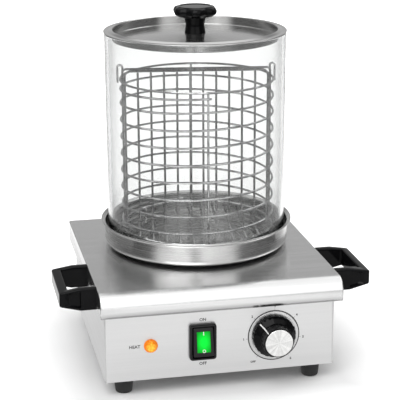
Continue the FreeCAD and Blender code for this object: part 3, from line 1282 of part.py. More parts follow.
def main():
    fill_sheet()
    make_top_cover()
    make_lower_casing()
    make_bottom_plate()
    make_feet()
    make_handles()
    make_bowl()
    make_heater()
    make_glass()
    make_lid()
    make_coil()
    make_basket_frame()
    make_partition()
    make_dial()
    make_thermostat()
    make_switch()
    make_lamp()
    make_cable_gland()
    make_terminals()
    doc.recompute()
    check_document()
    write_parts()


main()
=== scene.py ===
"""Counter steamer: the looks of its pieces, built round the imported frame.

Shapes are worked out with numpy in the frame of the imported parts, +Z up and -Y to the front.
Lengths are metres. Outlines are written in millimetres, and MM turns them into metres.
"""
import math
from functools import cache

import bmesh
import bpy
import numpy as np
from bpy.props import FloatProperty, FloatVectorProperty, PointerProperty
from bpy.types import Operator, Panel, PropertyGroup
from mathutils import Matrix, Vector


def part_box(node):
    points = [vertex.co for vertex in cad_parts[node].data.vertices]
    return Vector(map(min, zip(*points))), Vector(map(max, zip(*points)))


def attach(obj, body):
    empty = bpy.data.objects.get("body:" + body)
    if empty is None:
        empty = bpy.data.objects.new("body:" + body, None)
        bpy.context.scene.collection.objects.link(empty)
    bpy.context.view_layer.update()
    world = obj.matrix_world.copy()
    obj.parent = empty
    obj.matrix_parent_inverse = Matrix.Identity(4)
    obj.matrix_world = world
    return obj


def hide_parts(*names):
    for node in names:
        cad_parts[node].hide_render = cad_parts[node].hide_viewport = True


bl_info = {
    "name": "Counter Steamer",
    "version": (1, 0, 0),
    "blender": (4, 5, 0),
    "location": "3D View > Sidebar > Steamer",
    "description": "Builds the steamer's steel, glass, wire and moulded pieces round its packed frame",
    "category": "Add Mesh",
}

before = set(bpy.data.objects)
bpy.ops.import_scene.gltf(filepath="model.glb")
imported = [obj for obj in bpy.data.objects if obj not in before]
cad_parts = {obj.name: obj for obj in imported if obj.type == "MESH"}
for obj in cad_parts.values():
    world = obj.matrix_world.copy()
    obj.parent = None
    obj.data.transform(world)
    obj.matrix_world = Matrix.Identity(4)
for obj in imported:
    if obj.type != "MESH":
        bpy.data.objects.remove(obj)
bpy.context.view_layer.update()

MM = 0.001
TURN = 2 * math.pi
QUARTER_TURN = math.pi / 2
MERGE = 2e-7
AXIS_UP = np.identity(3)
AXIS_FRONT = np.array(((1, 0, 0), (0, 0, -1), (0, 1, 0)))
AXIS_REAR = np.array(((1, 0, 0), (0, 0, 1), (0, -1, 0)))
AXIS_RIGHT = np.array(((0, 0, 1), (1, 0, 0), (0, 1, 0)))


def low(node):
    """Lowest corner of a node's box."""
    return np.array(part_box(node)[0])


def high(node):
    """Highest corner of a node's box."""
    return np.array(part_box(node)[1])


def middle(node):
    """Middle of a node's box."""
    return (low(node) + high(node)) / 2


WELL = middle("glass_cylinder") * (1, 1, 0)
PANEL_Y = float(high("dial_trim_ring")[1])


def on_panel(node):
    """The point of the front panel behind a node's middle."""
    return middle(node) * (1, 0, 1) + (0, PANEL_Y, 0)


DIAL = middle("dial_trim_ring")
DIAL_SEAT = on_panel("dial_trim_ring")
COVER_TOP = float(high("top_cover")[2])
LIP_BOTTOM = float(low("top_cover")[2])
BASKET_FEET = float(low("basket_legs")[2])


# Settings: the sizes and colours that a user would change

def colour_setting(name, description, default):
    """A colour of three channels, each from 0 to 1."""
    return FloatVectorProperty(name=name, description=description, subtype="COLOR", size=3,
                               min=0, max=1, default=default)


def length_setting(name, description, default, least, most):
    """A length in metres; its default and limits are given in millimetres."""
    return FloatProperty(name=name, description=description, unit="LENGTH", default=default * MM,
                         min=least * MM, max=most * MM)


def angle_setting(name, description, degrees):
    """An angle in radians; its default is given in degrees."""
    return FloatProperty(name=name, description=description, subtype="ANGLE",
                         default=math.radians(degrees))


class SteelSettings(PropertyGroup):
    casing_colour: colour_setting(
        "Casing colour", "Base colour of the brushed cover and casing", (0.68, 0.68, 0.68))
    bowl_colour: colour_setting(
        "Bowl colour", "Base colour of the turned bowl and lid", (0.56, 0.56, 0.555))
    cover_bend: length_setting("Front bend", "Outer radius of the cover's front bend", 15, 2, 20)
    sheet: length_setting("Sheet", "Thickness of the folded and spun steel sheet", 1, 0.4, 2)


class BasketSettings(PropertyGroup):
    wire: length_setting("Wire radius", "Radius of the basket's wire", 1.25, 0.5, 1.25)
    colour: colour_setting("Wire colour", "Base colour of the plated wire", (0.57, 0.57, 0.57))
    pitch: length_setting("Coil pitch", "Rise of the coil in one turn", 19.1, 8, 30)
    first_pitch: length_setting("First pitch", "Rise of the coil's uppermost turn", 14.6, 8, 30)
    turn: angle_setting("Partition angle", "Angle of the partition to the base's front", -8.5)


class ControlSettings(PropertyGroup):
    pointer: angle_setting("Pointer", "Direction of the dial's pointer at rest", 136)
    tilt: angle_setting("Rocker tilt", "Tilt of the rocker when it is on", 10)
    lens_colour: colour_setting("Switch colour", "Colour of the lit rocker lens", (0.0, 0.78, 0.04))
    lamp_colour: colour_setting("Lamp colour", "Colour of the lit pilot lamp", (0.95, 0.24, 0.01))


class StageSettings(PropertyGroup):
    floor_colour: colour_setting("Floor colour", "Colour of the studio floor", (0.86, 0.86, 0.86))
    side_tone: FloatProperty(
        name="Side tone", description="Brightness of the studio's dark sides, as mirrors see them",
        default=0.14, min=0, max=1)
    wall_tone: FloatProperty(
        name="Wall tone", description="Brightness of the studio's rear wall, as mirrors see it",
        default=0.33, min=0, max=1)
    lens: FloatProperty(
        name="Lens", description="Focal length of the camera on a 36 mm sensor",
        unit="CAMERA", default=122.71, min=20, max=300)
    pitch: angle_setting("Camera pitch", "How far the camera looks down", 16.531)
    bearing: angle_setting(
        "Camera bearing", "How far the camera looks to the right of straight back", 11.861)


class SteamerSettings(PropertyGroup):
    steel: PointerProperty(type=SteelSettings)
    basket: PointerProperty(type=BasketSettings)
    controls: PointerProperty(type=ControlSettings)
    stage: PointerProperty(type=StageSettings)


def settings():
    """The values of the sidebar's groups."""
    return bpy.context.scene.steamer


# Shapes: arrays of points and the meshes made from them

def unit(vectors):
    return vectors / np.linalg.norm(vectors, axis=-1, keepdims=True)


def on_circle(angles):
    """Points (cos t, sin t) of the unit circle."""
    return np.column_stack((np.cos(angles), np.sin(angles)))


def around(steps):
    """Evenly spaced angles of a full turn."""
    return np.linspace(0, TURN, steps, endpoint=False)


def rounded(corners, radii, steps=6, closed=False):
    """A path through corners with each one rounded by an arc of its own radius.

    At a corner the arc starts r / tan(a / 2) before it, where a is the angle between the two
    runs, and its centre lies r / sin(a / 2) along the bisector. The arc's points turn evenly
    from the first touching direction to the second. One more point on each side of an arc, up to
    a fifth of the radius away, keeps the straight runs' shading flat.
    """
    corners = np.asarray(corners, float)
    radii = np.broadcast_to(np.asarray(radii, float), len(corners)).copy()
    if not closed:
        radii[[0, -1]] = 0
    radii = np.maximum(radii, 1e-9)[:, None]
    back = unit(np.roll(corners, 1, axis=0) - corners)
    ahead = unit(np.roll(corners, -1, axis=0) - corners)
    angle = np.arccos(np.clip((back * ahead).sum(1, keepdims=True), -1 + 1e-12, 1 - 1e-12))
    trim = radii / np.tan(angle / 2)
    centre = corners + unit(back + ahead) * radii / np.sin(angle / 2)
    first = corners + back * trim - centre
    last = corners + ahead * trim - centre
    sweep = (math.pi - angle)[:, None, :]
    share = np.linspace(0, 1, steps + 1)[None, :, None]
    arc = np.sin((1 - share) * sweep) * first[:, None] + np.sin(share * sweep) * last[:, None]
    arc = centre[:, None] + arc / np.sin(sweep)
    run = np.linalg.norm(np.roll(corners, -1, axis=0) - corners, axis=1)[:, None]
    spare = run - trim - np.roll(trim, -1, axis=0)
    before = np.minimum(0.2 * radii, 0.4 * np.roll(spare, 1, axis=0))[:, None]
    after = np.minimum(0.2 * radii, 0.4 * spare)[:, None]
    points = np.concatenate((arc[:, :1] + back[:, None] * before, arc,
                             arc[:, -1:] + ahead[:, None] * after), axis=1)
    if closed:
        return points.reshape(-1, corners.shape[1])
    inner = points[1:-1].reshape(-1, corners.shape[1])
    return np.vstack((corners[:1], inner, corners[-1:]))


def outline(corners, steps=6, closed=False):
    """A path in metres through corners given as (u, v, rounding) in millimetres."""
    table = np.array(corners, float) * MM
    return rounded(table[:, :2], table[:, 2], steps, closed)


def grid_faces(rows, columns, wrap_rows, wrap_columns):
    """Four-sided faces between the neighbours of a grid of points."""
    last_row = rows if wrap_rows else rows - 1
    last_column = columns if wrap_columns else columns - 1
    i, j = np.meshgrid(np.arange(last_row), np.arange(last_column), indexing="ij")
    i2, j2 = (i + 1) % rows, (j + 1) % columns
    corners = (i * columns + j, i * columns + j2, i2 * columns + j2, i2 * columns + j)
    return np.stack(corners, axis=-1).reshape(-1, 4)


def surface(grid, wrap_rows=False, wrap_columns=False):
    """The points and faces of a grid of shape (rows, columns, 3)."""
    rows, columns = grid.shape[:2]
    return grid.reshape(-1, 3), grid_faces(rows, columns, wrap_rows, wrap_columns)


def capped(grid):
    """A grid whose columns close on themselves, with a face on its first and on its last row."""
    ring = [list(range(grid.shape[1]))]
    return [surface(grid, wrap_columns=True), (grid[0], ring), (grid[-1], ring)]


def lathe(profile, centre, axis=AXIS_UP, steps=96, closed=False, wobble=None):
    """A profile of (radius, height) pairs turned about an axis.

    A point is centre + axis * (r cos t, r sin t, h) for t round the circle. wobble, if given,
    is a function of (t, r, h) that returns a changed radius, for flutes and lobes.
    """
    t = around(steps)[:, None]
    r = np.broadcast_to(profile[None, :, 0], (steps, len(profile)))
    h = np.broadcast_to(profile[None, :, 1], (steps, len(profile)))
    if wobble is not None:
        r = wobble(t, r, h)
    local = np.stack((r * np.cos(t), r * np.sin(t), h), axis=-1)
    return surface(local @ axis.T + np.asarray(centre, float), wrap_rows=True, wrap_columns=closed)


def ripple(angle, count):
    """A raised cosine: 1 at the start of each of a number of equal sectors and 0 half-way."""
    return 0.5 + 0.5 * np.cos(count * angle)


def ramp(value, start, length):
    """0 below a start and 1 a length above it; both are given in millimetres."""
    return np.clip((value - start * MM) / (length * MM), 0, 1)


def tube(path, radius, side, sides=10, closed=False):
    """A round wire along a path, with rounded ends.

    A ring's point is p + r (cos a) n + r (sin a) (d x n), where d is the path's direction and
    n the given side direction made square to it.
    """
    ahead = np.roll(path, -1, axis=0) - np.roll(path, 1, axis=0)
    if not closed:
        ahead[0], ahead[-1] = path[1] - path[0], path[-1] - path[-2]
    direction = unit(ahead)
    side = np.broadcast_to(side, path.shape)
    normal = unit(side - direction * (side * direction).sum(1, keepdims=True))
    other = np.cross(direction, normal)
    size = np.full(len(path), radius)
    if not closed:
        # The ring at each end becomes three, which grow from nothing over 0.6 of the radius
        tip = np.array((0, 0.7, 1)) * radius
        pull = np.array((0, 0.3, 1)) * radius * 0.6
        path = np.vstack((path[0] + direction[0] * pull[:, None], path[1:-1],
                          path[-1] - direction[-1] * pull[::-1, None]))
        size = np.concatenate((tip, size[1:-1], tip[::-1]))
        ends_thrice = np.pad(np.arange(1, len(normal) - 1), 3, constant_values=(0, len(normal) - 1))
        normal, other = normal[ends_thrice], other[ends_thrice]
    a = around(sides)[None, :, None]
    ring = np.cos(a) * normal[:, None] + np.sin(a) * other[:, None]
    return surface(path[:, None] + ring * size[:, None, None], closed, True)


def ribbon(path, side, half, thick):
    """A flat strip along a path: its section is a box round the path, closed at its ends.

    The strip's depth goes along d x s, where d is the path's direction and s the side.
    """
    deep = np.cross(unit(np.gradient(path, axis=0)), side)
    corners = [path + side * half * u + deep * thick * v
               for u, v in ((-1, -1), (-0.85, 1), (0.85, 1), (1, -1))]
    grid = np.stack(corners, axis=1)
    first = np.broadcast_to(grid[0].mean(0), grid[:1].shape)
    last = np.broadcast_to(grid[-1].mean(0), grid[:1].shape)
    return np.concatenate((first, grid, last))


def plate(corners, depths, place):
    """A flat plate: an outline of (u, v) points between two depths, put in place by a function."""
    count = len(corners)
    layers = [np.column_stack((corners, np.full(count, depth))) for depth in depths]
    faces = grid_faces(2, count, False, True).tolist()
    faces += [list(range(count))[::-1], list(range(count, 2 * count))]
    return place(np.vstack(layers)), faces


def stack(levels, turn, centre):
    """A grid of rounded rectangles, one above another, turned and put in place.

    A level is (width, height, corner radius, height above the base) in millimetres.
    """
    rings = []
    for width, height, radius, level in np.array(levels) * MM:
        corners = np.array(((-1, -1), (1, -1), (1, 1), (-1, 1))) * (width / 2, height / 2)
        ring = rounded(corners, radius, closed=True)
        rings.append(np.column_stack((ring, np.full(len(ring), level))))
    return np.stack(rings) @ turn.T + centre


def add_object(name, data):
    """A new object in the scene."""
    thing = bpy.data.objects.new(name, data)
    bpy.context.scene.collection.objects.link(thing)
    return thing


def piece(name, parts, material, body, replaces, sharp=35):
    """One object from (points, faces) pairs, merged, closed and smooth-shaded."""
    points, faces, start = [], [], 0
    for part_points, part_faces in parts:
        points.append(part_points)
        faces += [[index + start for index in face] for face in np.asarray(part_faces).tolist()]
        start += len(part_points)
    mesh = bpy.data.meshes.new(name)
    mesh.from_pydata(np.vstack(points).tolist(), [], faces)
    work = bmesh.new()
    work.from_mesh(mesh)
    bmesh.ops.remove_doubles(work, verts=work.verts, dist=MERGE)
    bmesh.ops.dissolve_degenerate(work, edges=work.edges, dist=MERGE)
    bmesh.ops.recalc_face_normals(work, faces=work.faces)
    work.to_mesh(mesh)
    work.free()
    mesh.shade_smooth()
    mesh.set_sharp_from_angle(angle=math.radians(sharp))
    mesh.materials.append(material)
    thing = add_object(name, mesh)
    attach(thing, body)
    if replaces:
        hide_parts(*replaces)
    return thing


# Finishes: shared node groups and the materials that use them

class Nodes:
    """A short way to add nodes and links to a material, a group or the world."""

    def __init__(self, tree):
        self.tree = tree
        tree.nodes.clear()

    def plug(self, socket, value):
        """Link a value that comes from another node, or set one that doesn't."""
        if isinstance(value, bpy.types.NodeSocket):
            self.tree.links.new(value, socket)
        else:
            socket.default_value = value

    def add(self, kind, inputs=None, **options):
        """A node of that kind, with its inputs by name or place and its properties by name."""
        made = self.tree.nodes.new(kind)
        for name, value in options.items():
            setattr(made, name, value)
        for name, value in (inputs or {}).items():
            self.plug(made.inputs[name], value)
        return made

    def group(self, tree, inputs):
        """The outputs of a shared group."""
        return self.add("ShaderNodeGroup", inputs, node_tree=tree).outputs

    def math(self, operation, total, *values):
        """A sum, product or the like of two values, or of more in turn, or a function of one."""
        for value in values or (0.0,):
            total = self.add("ShaderNodeMath", {0: total, 1: value}, operation=operation).outputs[0]
        return total

    def vector(self, operation, first, second=(0, 0, 0)):
        made = self.add("ShaderNodeVectorMath", {0: first, 1: second}, operation=operation)
        return made.outputs["Value" if operation in ("LENGTH", "DOT_PRODUCT") else "Vector"]

    def parts(self, vector):
        return self.add("ShaderNodeSeparateXYZ", {0: vector}).outputs

    def joined(self, x, y, z=0.0):
        return self.add("ShaderNodeCombineXYZ", {0: x, 1: y, 2: z}).outputs[0]

    def noise(self, place, scale, detail=2.0, rough=0.5):
        made = self.add("ShaderNodeTexNoise", {"Vector": place, "Scale": scale, "Detail": detail,
                                               "Roughness": rough})
        return made.outputs[0]

    def bump(self, height, strength, distance):
        made = self.add("ShaderNodeBump", {"Height": height, "Strength": strength,
                                           "Distance": distance})
        return made.outputs[0]

    def blend(self, share, first, second):
        """Mix of two colours by a share."""
        made = self.add("ShaderNodeMix", {0: share, 6: first, 7: second}, data_type="RGBA")
        return made.outputs[2]

    def between(self, share, first, second):
        """Mix of two values by a share."""
        made = self.add("ShaderNodeMix", {0: share, 2: first, 3: second}, data_type="FLOAT")
        return made.outputs[0]

    def scaled(self, value, low_out, high_out, low_in=0.0, high_in=1.0):
        """A value carried over from one range to another and kept within it."""
        made = self.add("ShaderNodeMapRange", {"Value": value, "From Min": low_in, "From Max": high_in,
                                               "To Min": low_out, "To Max": high_out})
        return made.outputs[0]


def shade(colour, factor):
    """A colour made darker or lighter, with full alpha."""
    return (*(min(channel * factor, 1.0) for channel in colour[:3]), 1.0)


FLOAT, VECTOR = "NodeSocketFloat", "NodeSocketVector"


def start_group(name, inputs, masks):
    """A group that takes a place vector and the given inputs, and puts out masks and a normal."""
    tree = bpy.data.node_groups.new(name, "ShaderNodeTree")
    tree.interface.new_socket(name="Vector", in_out="INPUT", socket_type=VECTOR)
    for label, kind, value in inputs:
        socket = tree.interface.new_socket(name=label, in_out="INPUT", socket_type=kind)
        socket.default_value = value
    for label in masks:
        tree.interface.new_socket(name=label, in_out="OUTPUT", socket_type=FLOAT)
    tree.interface.new_socket(name="Normal", in_out="OUTPUT", socket_type=VECTOR)
    nodes = Nodes(tree)
    return nodes, nodes.add("NodeGroupInput").outputs


def finish_group(nodes, **values):
    """Close a group with what it puts out."""
    nodes.add("NodeGroupOutput", values)
    return nodes.tree


@cache
def straight_grain():
    """Straight brushing: noise drawn out along the axes with a small stretch.

    It gives a fine mask, a broad mask and a normal.
    """
    nodes, given = start_group("Straight Grain", (("Stretch", VECTOR, (6, 900, 900)),
                                                  ("Height", FLOAT, 0.02 * MM)), ("Grain", "Broad"))
    drawn = nodes.vector("MULTIPLY", given["Vector"], given["Stretch"])
    fine = nodes.noise(drawn, 1.0, detail=3.0)
    return finish_group(nodes, Grain=fine, Broad=nodes.noise(drawn, 0.12),
                        Normal=nodes.bump(fine, 0.35, given["Height"]))


@cache
def turned_grain():
    """Turned brushing: noise of the radius and height alone, and a slow change round the axis that is
    painted highlight.
    """
    nodes, given = start_group("Turned Grain", (("Fineness", FLOAT, 900.0), ("Sectors", FLOAT, 3.0),
                                                ("Height", FLOAT, 0.02 * MM)), ("Grain", "Fan"))
    x, y, z = nodes.parts(given["Vector"])
    radius = nodes.vector("LENGTH", nodes.joined(x, y))
    angle = nodes.math("ARCTAN2", y, x)
    cosine, sine = nodes.math("COSINE", angle), nodes.math("SINE", angle)
    ring = nodes.joined(nodes.math("MULTIPLY", radius, given["Fineness"]),
                        nodes.math("MULTIPLY", z, given["Fineness"]),
                        nodes.math("MULTIPLY", sine, 0.6))
    fine = nodes.noise(ring, 1.0, detail=3.0)
    circle = nodes.joined(nodes.math("MULTIPLY", cosine, given["Sectors"]),
                          nodes.math("MULTIPLY", sine, given["Sectors"]))
    # The noise round the axis is a painted highlight in soft sectors, like the reflections on turned
    # metal.
    return finish_group(nodes, Grain=fine, Fan=nodes.noise(circle, 1.0, detail=1.0),
                        Normal=nodes.bump(fine, 0.35, given["Height"]))


@cache
def moulded_skin():
    """Moulded plastic or rubber: a fine pebble, broad handling marks and a normal."""
    nodes, given = start_group("Moulded Skin", (("Scale", FLOAT, 1500.0),
                                                ("Height", FLOAT, 0.01 * MM)), ("Pebble", "Marks"))
    fine = nodes.noise(given["Vector"], given["Scale"])
    return finish_group(nodes, Pebble=fine,
                        Marks=nodes.noise(given["Vector"], 60.0, detail=4.0, rough=0.6),
                        Normal=nodes.bump(fine, 0.3, given["Height"]))


def start_material(name, centre=(0, 0, 0), turn=(0, 0, 0)):
    """A material with a place vector on Object coordinates, moved and turned by a Mapping node."""
    material = bpy.data.materials.new(name)
    material.use_nodes = True
    nodes = Nodes(material.node_tree)
    place = nodes.add("ShaderNodeTexCoord").outputs["Object"]
    mapped = nodes.add("ShaderNodeMapping", {"Vector": place, "Location": tuple(-c for c in centre)})
    if any(turn):
        mapped = nodes.add("ShaderNodeMapping", {"Vector": mapped.outputs[0], "Rotation": turn})
    return material, nodes, mapped.outputs[0]


def finish_material(material, nodes, **inputs):
    """Close a material with a Principled BSDF; names use _ for a space."""
    named = {name.replace("_", " "): value for name, value in inputs.items()}
    shader = nodes.add("ShaderNodeBsdfPrincipled", named)
    nodes.add("ShaderNodeOutputMaterial", {"Surface": shader.outputs[0]})
    return material


def ray_kinds(nodes):
    """Two masks: rays straight from the camera, also through glass, and rays from a mirror.

    A mirror ray keeps its kind when it then passes through glass. A ray that only turns inside
    one glass wall counts as straight.
    """
    path = nodes.add("ShaderNodeLightPath").outputs
    seen = nodes.math("MAXIMUM", path["Is Camera Ray"], path["Is Transmission Ray"])
    straight = nodes.math("MULTIPLY", seen, nodes.math("LESS_THAN", path["Glossy Depth"], 0.5))
    inside = nodes.math("MULTIPLY", path["Is Transmission Ray"],
                        nodes.math("LESS_THAN", path["Transmission Depth"], 2.5))
    clean = nodes.math("LESS_THAN", path["Diffuse Depth"], 0.5)
    direct = nodes.math("MULTIPLY", nodes.math("MAXIMUM", straight, inside), clean)
    mirrored = nodes.math("MULTIPLY", nodes.math("GREATER_THAN", path["Glossy Depth"], 0.5), clean,
                          nodes.math("SUBTRACT", 1.0, direct))
    return direct, mirrored


def across(nodes, groove):
    """Direction on the surface square to the grooves, along which brushed metal spreads light."""
    groove = nodes.add("ShaderNodeVectorTransform", {0: groove}, vector_type="VECTOR",
                       convert_from="OBJECT", convert_to="WORLD").outputs[0]
    return nodes.vector("CROSS_PRODUCT", nodes.add("ShaderNodeNewGeometry").outputs["Normal"], groove)


def brushed_sheet(name, colour, stretch, rough, spread=0.6):
    """Brushed stainless sheet with a straight grain along the axes that have a small stretch."""
    material, nodes, place = start_material(name)
    grain = nodes.group(straight_grain(), {"Vector": place, "Stretch": stretch})
    tone = nodes.math("ADD", nodes.math("MULTIPLY", grain["Grain"], 0.55),
                      nodes.math("MULTIPLY", grain["Broad"], 0.45))
    base = nodes.blend(nodes.scaled(tone, 0, 1, 0.3, 0.7), shade(colour, 0.97), shade(colour, 1.03))
    return finish_material(material, nodes, Base_Color=base, Metallic=1.0,
                           Roughness=nodes.scaled(grain["Broad"], *rough, 0.35, 0.65),
                           Anisotropic=spread, Tangent=across(nodes, nodes.joined(1.0, 0.02)),
                           Normal=grain["Normal"])


def turned_sheet(name, colour, centre, axis=(0, 0, 1), turn=(0, 0, 0), sectors=3.0, fineness=900.0,
                 fan=0.05, rough=(0.16, 0.32), spread=0.75):
    """Spun or turned metal: rings of grain and a soft painted highlight in sectors round the axis."""
    material, nodes, place = start_material(name, centre, turn)
    own = nodes.add("ShaderNodeTexCoord").outputs["Object"]
    groove = nodes.vector("CROSS_PRODUCT", axis, nodes.vector("SUBTRACT", own, tuple(centre)))
    grain = nodes.group(turned_grain(), {"Vector": place, "Sectors": sectors, "Fineness": fineness})
    rings = nodes.scaled(grain["Grain"], 0.92, 1.04, 0.3, 0.7)
    # Painted highlight: the tone rises and falls by the given share in soft sectors round the axis.
    sweep = nodes.scaled(grain["Fan"], 1 - fan, 1 + fan, 0.3, 0.7)
    tone = nodes.scaled(nodes.math("MULTIPLY", rings, sweep), 0, 1, 0.8, 1.15)
    return finish_material(material, nodes, Metallic=1.0,
                           Base_Color=nodes.blend(tone, shade(colour, 0.8), shade(colour, 1.15)),
                           Roughness=nodes.scaled(grain["Grain"], *rough, 0.3, 0.7),
                           Anisotropic=spread, Tangent=across(nodes, groove),
                           Normal=grain["Normal"])


def moulding(name, colour, rough, pebble=1500.0, gloss=0.3, height=0.01 * MM):
    """Moulded plastic or rubber with a fine skin and faint handling marks."""
    material, nodes, place = start_material(name)
    skin = nodes.group(moulded_skin(), {"Vector": place, "Scale": pebble, "Height": height})
    base = nodes.blend(nodes.scaled(skin["Marks"], 0, 1, 0.35, 0.7), shade(colour, 0.85),
                       shade(colour, 1.25))
    return finish_material(material, nodes, Base_Color=base,
                           Roughness=nodes.scaled(skin["Marks"], *rough, 0.35, 0.65),
                           Specular_IOR_Level=gloss, Normal=skin["Normal"])


def plated(name, colour, rough=(0.18, 0.34)):
    """Plated or cast metal with slight cloudiness and fine drawing marks."""
    material, nodes, place = start_material(name)
    skin = nodes.group(moulded_skin(), {"Vector": place, "Scale": 2200.0, "Height": 0.008 * MM})
    base = nodes.blend(nodes.scaled(skin["Marks"], 0, 1, 0.35, 0.65), shade(colour, 0.86),
                       shade(colour, 1.12))
    return finish_material(material, nodes, Base_Color=base, Metallic=1.0,
                           Roughness=nodes.scaled(skin["Pebble"], *rough, 0.3, 0.7),
                           Normal=skin["Normal"])


def lit_lens(name, centre, inner, outer, reach, strength, facets=0.0):
    """Translucent lens lit from inside: bright in the middle and deeper towards its edge.

    The share is the distance from the centre in the panel's plane over the lens's reach, which is
    given in millimetres.
    """
    material, nodes, place = start_material(name, tuple(centre))
    x, _, z = nodes.parts(place)
    flat = nodes.joined(nodes.math("DIVIDE", x, reach[0] * MM), nodes.math("DIVIDE", z, reach[1] * MM))
    share = nodes.scaled(nodes.vector("LENGTH", flat), 0, 1, 0.15, 1.05)
    cells = nodes.add("ShaderNodeTexVoronoi", {"Vector": place, "Scale": 420.0}, feature="F1")
    depth = cells.outputs["Distance"]
    sparkle = nodes.math("MULTIPLY", nodes.math("SUBTRACT", depth, 0.4), facets)
    share = nodes.add("ShaderNodeClamp", {0: nodes.math("ADD", share, sparkle)}).outputs[0]
    tone = nodes.blend(share, (*inner, 1), (*outer, 1))
    return finish_material(material, nodes, Base_Color=tone, Emission_Color=tone,
                           Emission_Strength=strength, Roughness=0.12, Specular_IOR_Level=0.12,
                           Normal=nodes.bump(depth, 0.15 + facets * 0.5, 0.3 * MM))


def clear_glass():
    """Clear heat-proof glass: solid walls, darker where seen edge-on, with faint marks in the gloss."""
    material, nodes, place = start_material("steamer_clear_glass", tuple(WELL))
    skin = nodes.group(moulded_skin(), {"Vector": place, "Scale": 40.0, "Height": 0.02 * MM})
    edge = nodes.add("ShaderNodeLayerWeight", {"Blend": 0.35}).outputs["Facing"]
    tint = nodes.blend(nodes.scaled(edge, 0, 1, 0.42, 0.62), (0.80, 0.805, 0.803, 1),
                       (0.54, 0.545, 0.545, 1))
    return finish_material(material, nodes, Base_Color=tint, IOR=1.47, Transmission_Weight=1.0,
                           Roughness=nodes.scaled(skin["Marks"], 0.0, 0.03, 0.4, 0.8))


def dial_metal(name, colour, **options):
    """Metal turned about the dial's axis."""
    return turned_sheet(name, colour, tuple(DIAL), (0, -1, 0), (QUARTER_TURN, 0, 0),
                        fineness=2600.0, **options)


FINISHES = {
    "cover": lambda: brushed_sheet("steamer_cover_steel", settings().steel.casing_colour,
                                   (14, 2600, 2600), (0.20, 0.27)),
    "casing": lambda: brushed_sheet("steamer_casing_steel", settings().steel.casing_colour,
                                    (14, 14, 2200), (0.28, 0.36)),
    "bowl": lambda: turned_sheet("steamer_bowl_steel", settings().steel.bowl_colour, tuple(WELL)),
    # The lid is the bowl's steel made 6% darker: painted shade.
    "lid": lambda: turned_sheet("steamer_lid_steel_painted_shade", shade(settings().steel.bowl_colour, 0.94),
                                tuple(WELL), sectors=2.2, rough=(0.15, 0.25), spread=0.65),
    "wire": lambda: plated("steamer_plated_wire", settings().basket.colour, (0.05, 0.12)),
    # The partition's and rail's wire is the plated wire at half its brightness: painted shade inside the
    # basket.
    "wire_in_painted_shade": lambda: plated("steamer_wire_in_painted_shade", shade(settings().basket.colour, 0.48),
                                 (0.08, 0.16)),
    "glass": clear_glass,
    "black": lambda: moulding("steamer_black_moulding", (0.004, 0.004, 0.0045), (0.04, 0.11),
                              gloss=0.09),
    "satin_black": lambda: moulding("steamer_satin_black", (0.010, 0.010, 0.011), (0.3, 0.42),
                                    gloss=0.25),
    "rubber": lambda: moulding("steamer_foot_rubber", (0.022, 0.022, 0.022), (0.5, 0.7),
                               pebble=900.0, height=0.04 * MM),
    # The cap's deeper sectors of tone round its axis are a painted highlight.
    "cap": lambda: dial_metal("steamer_dial_cap", (0.80, 0.80, 0.79), sectors=2.6, fan=0.14,
                              rough=(0.08, 0.18), spread=0.5),
    "trim": lambda: dial_metal("steamer_dial_trim", (0.6, 0.6, 0.6), rough=(0.1, 0.2)),
    "white": lambda: moulding("steamer_white_mark", (0.85, 0.85, 0.83), (0.3, 0.4)),
    "print": lambda: moulding("steamer_black_print", (0.02, 0.02, 0.02), (0.45, 0.6)),
    "zinc": lambda: plated("steamer_zinc_screw", (0.58, 0.58, 0.57)),
    "cast": lambda: plated("steamer_cast_heater", (0.52, 0.52, 0.51), (0.4, 0.6)),
    "sheath": lambda: plated("steamer_element_sheath", (0.30, 0.27, 0.24), (0.35, 0.5)),
    "copper": lambda: plated("steamer_copper_tube", (0.72, 0.40, 0.25)),
    "brass": lambda: plated("steamer_brass_contact", (0.72, 0.56, 0.27)),
    "nylon_white": lambda: moulding("steamer_nylon_white", (0.75, 0.74, 0.70), (0.4, 0.55)),
    "gasket": lambda: moulding("steamer_gasket_rubber", (0.02, 0.02, 0.02), (0.5, 0.65)),
}


@cache
def finish(name):
    """The material of that name, made once."""
    return FINISHES[name]()


def dress(material_name, *nodes):
    """Give CAD nodes that stay as they are their material."""
    for name in nodes:
        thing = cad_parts[name]
        thing.data.materials.clear()
        thing.data.materials.append(finish(material_name))


# Operators: one for each piece or group of like pieces. The sizes in their tables are millimetres.

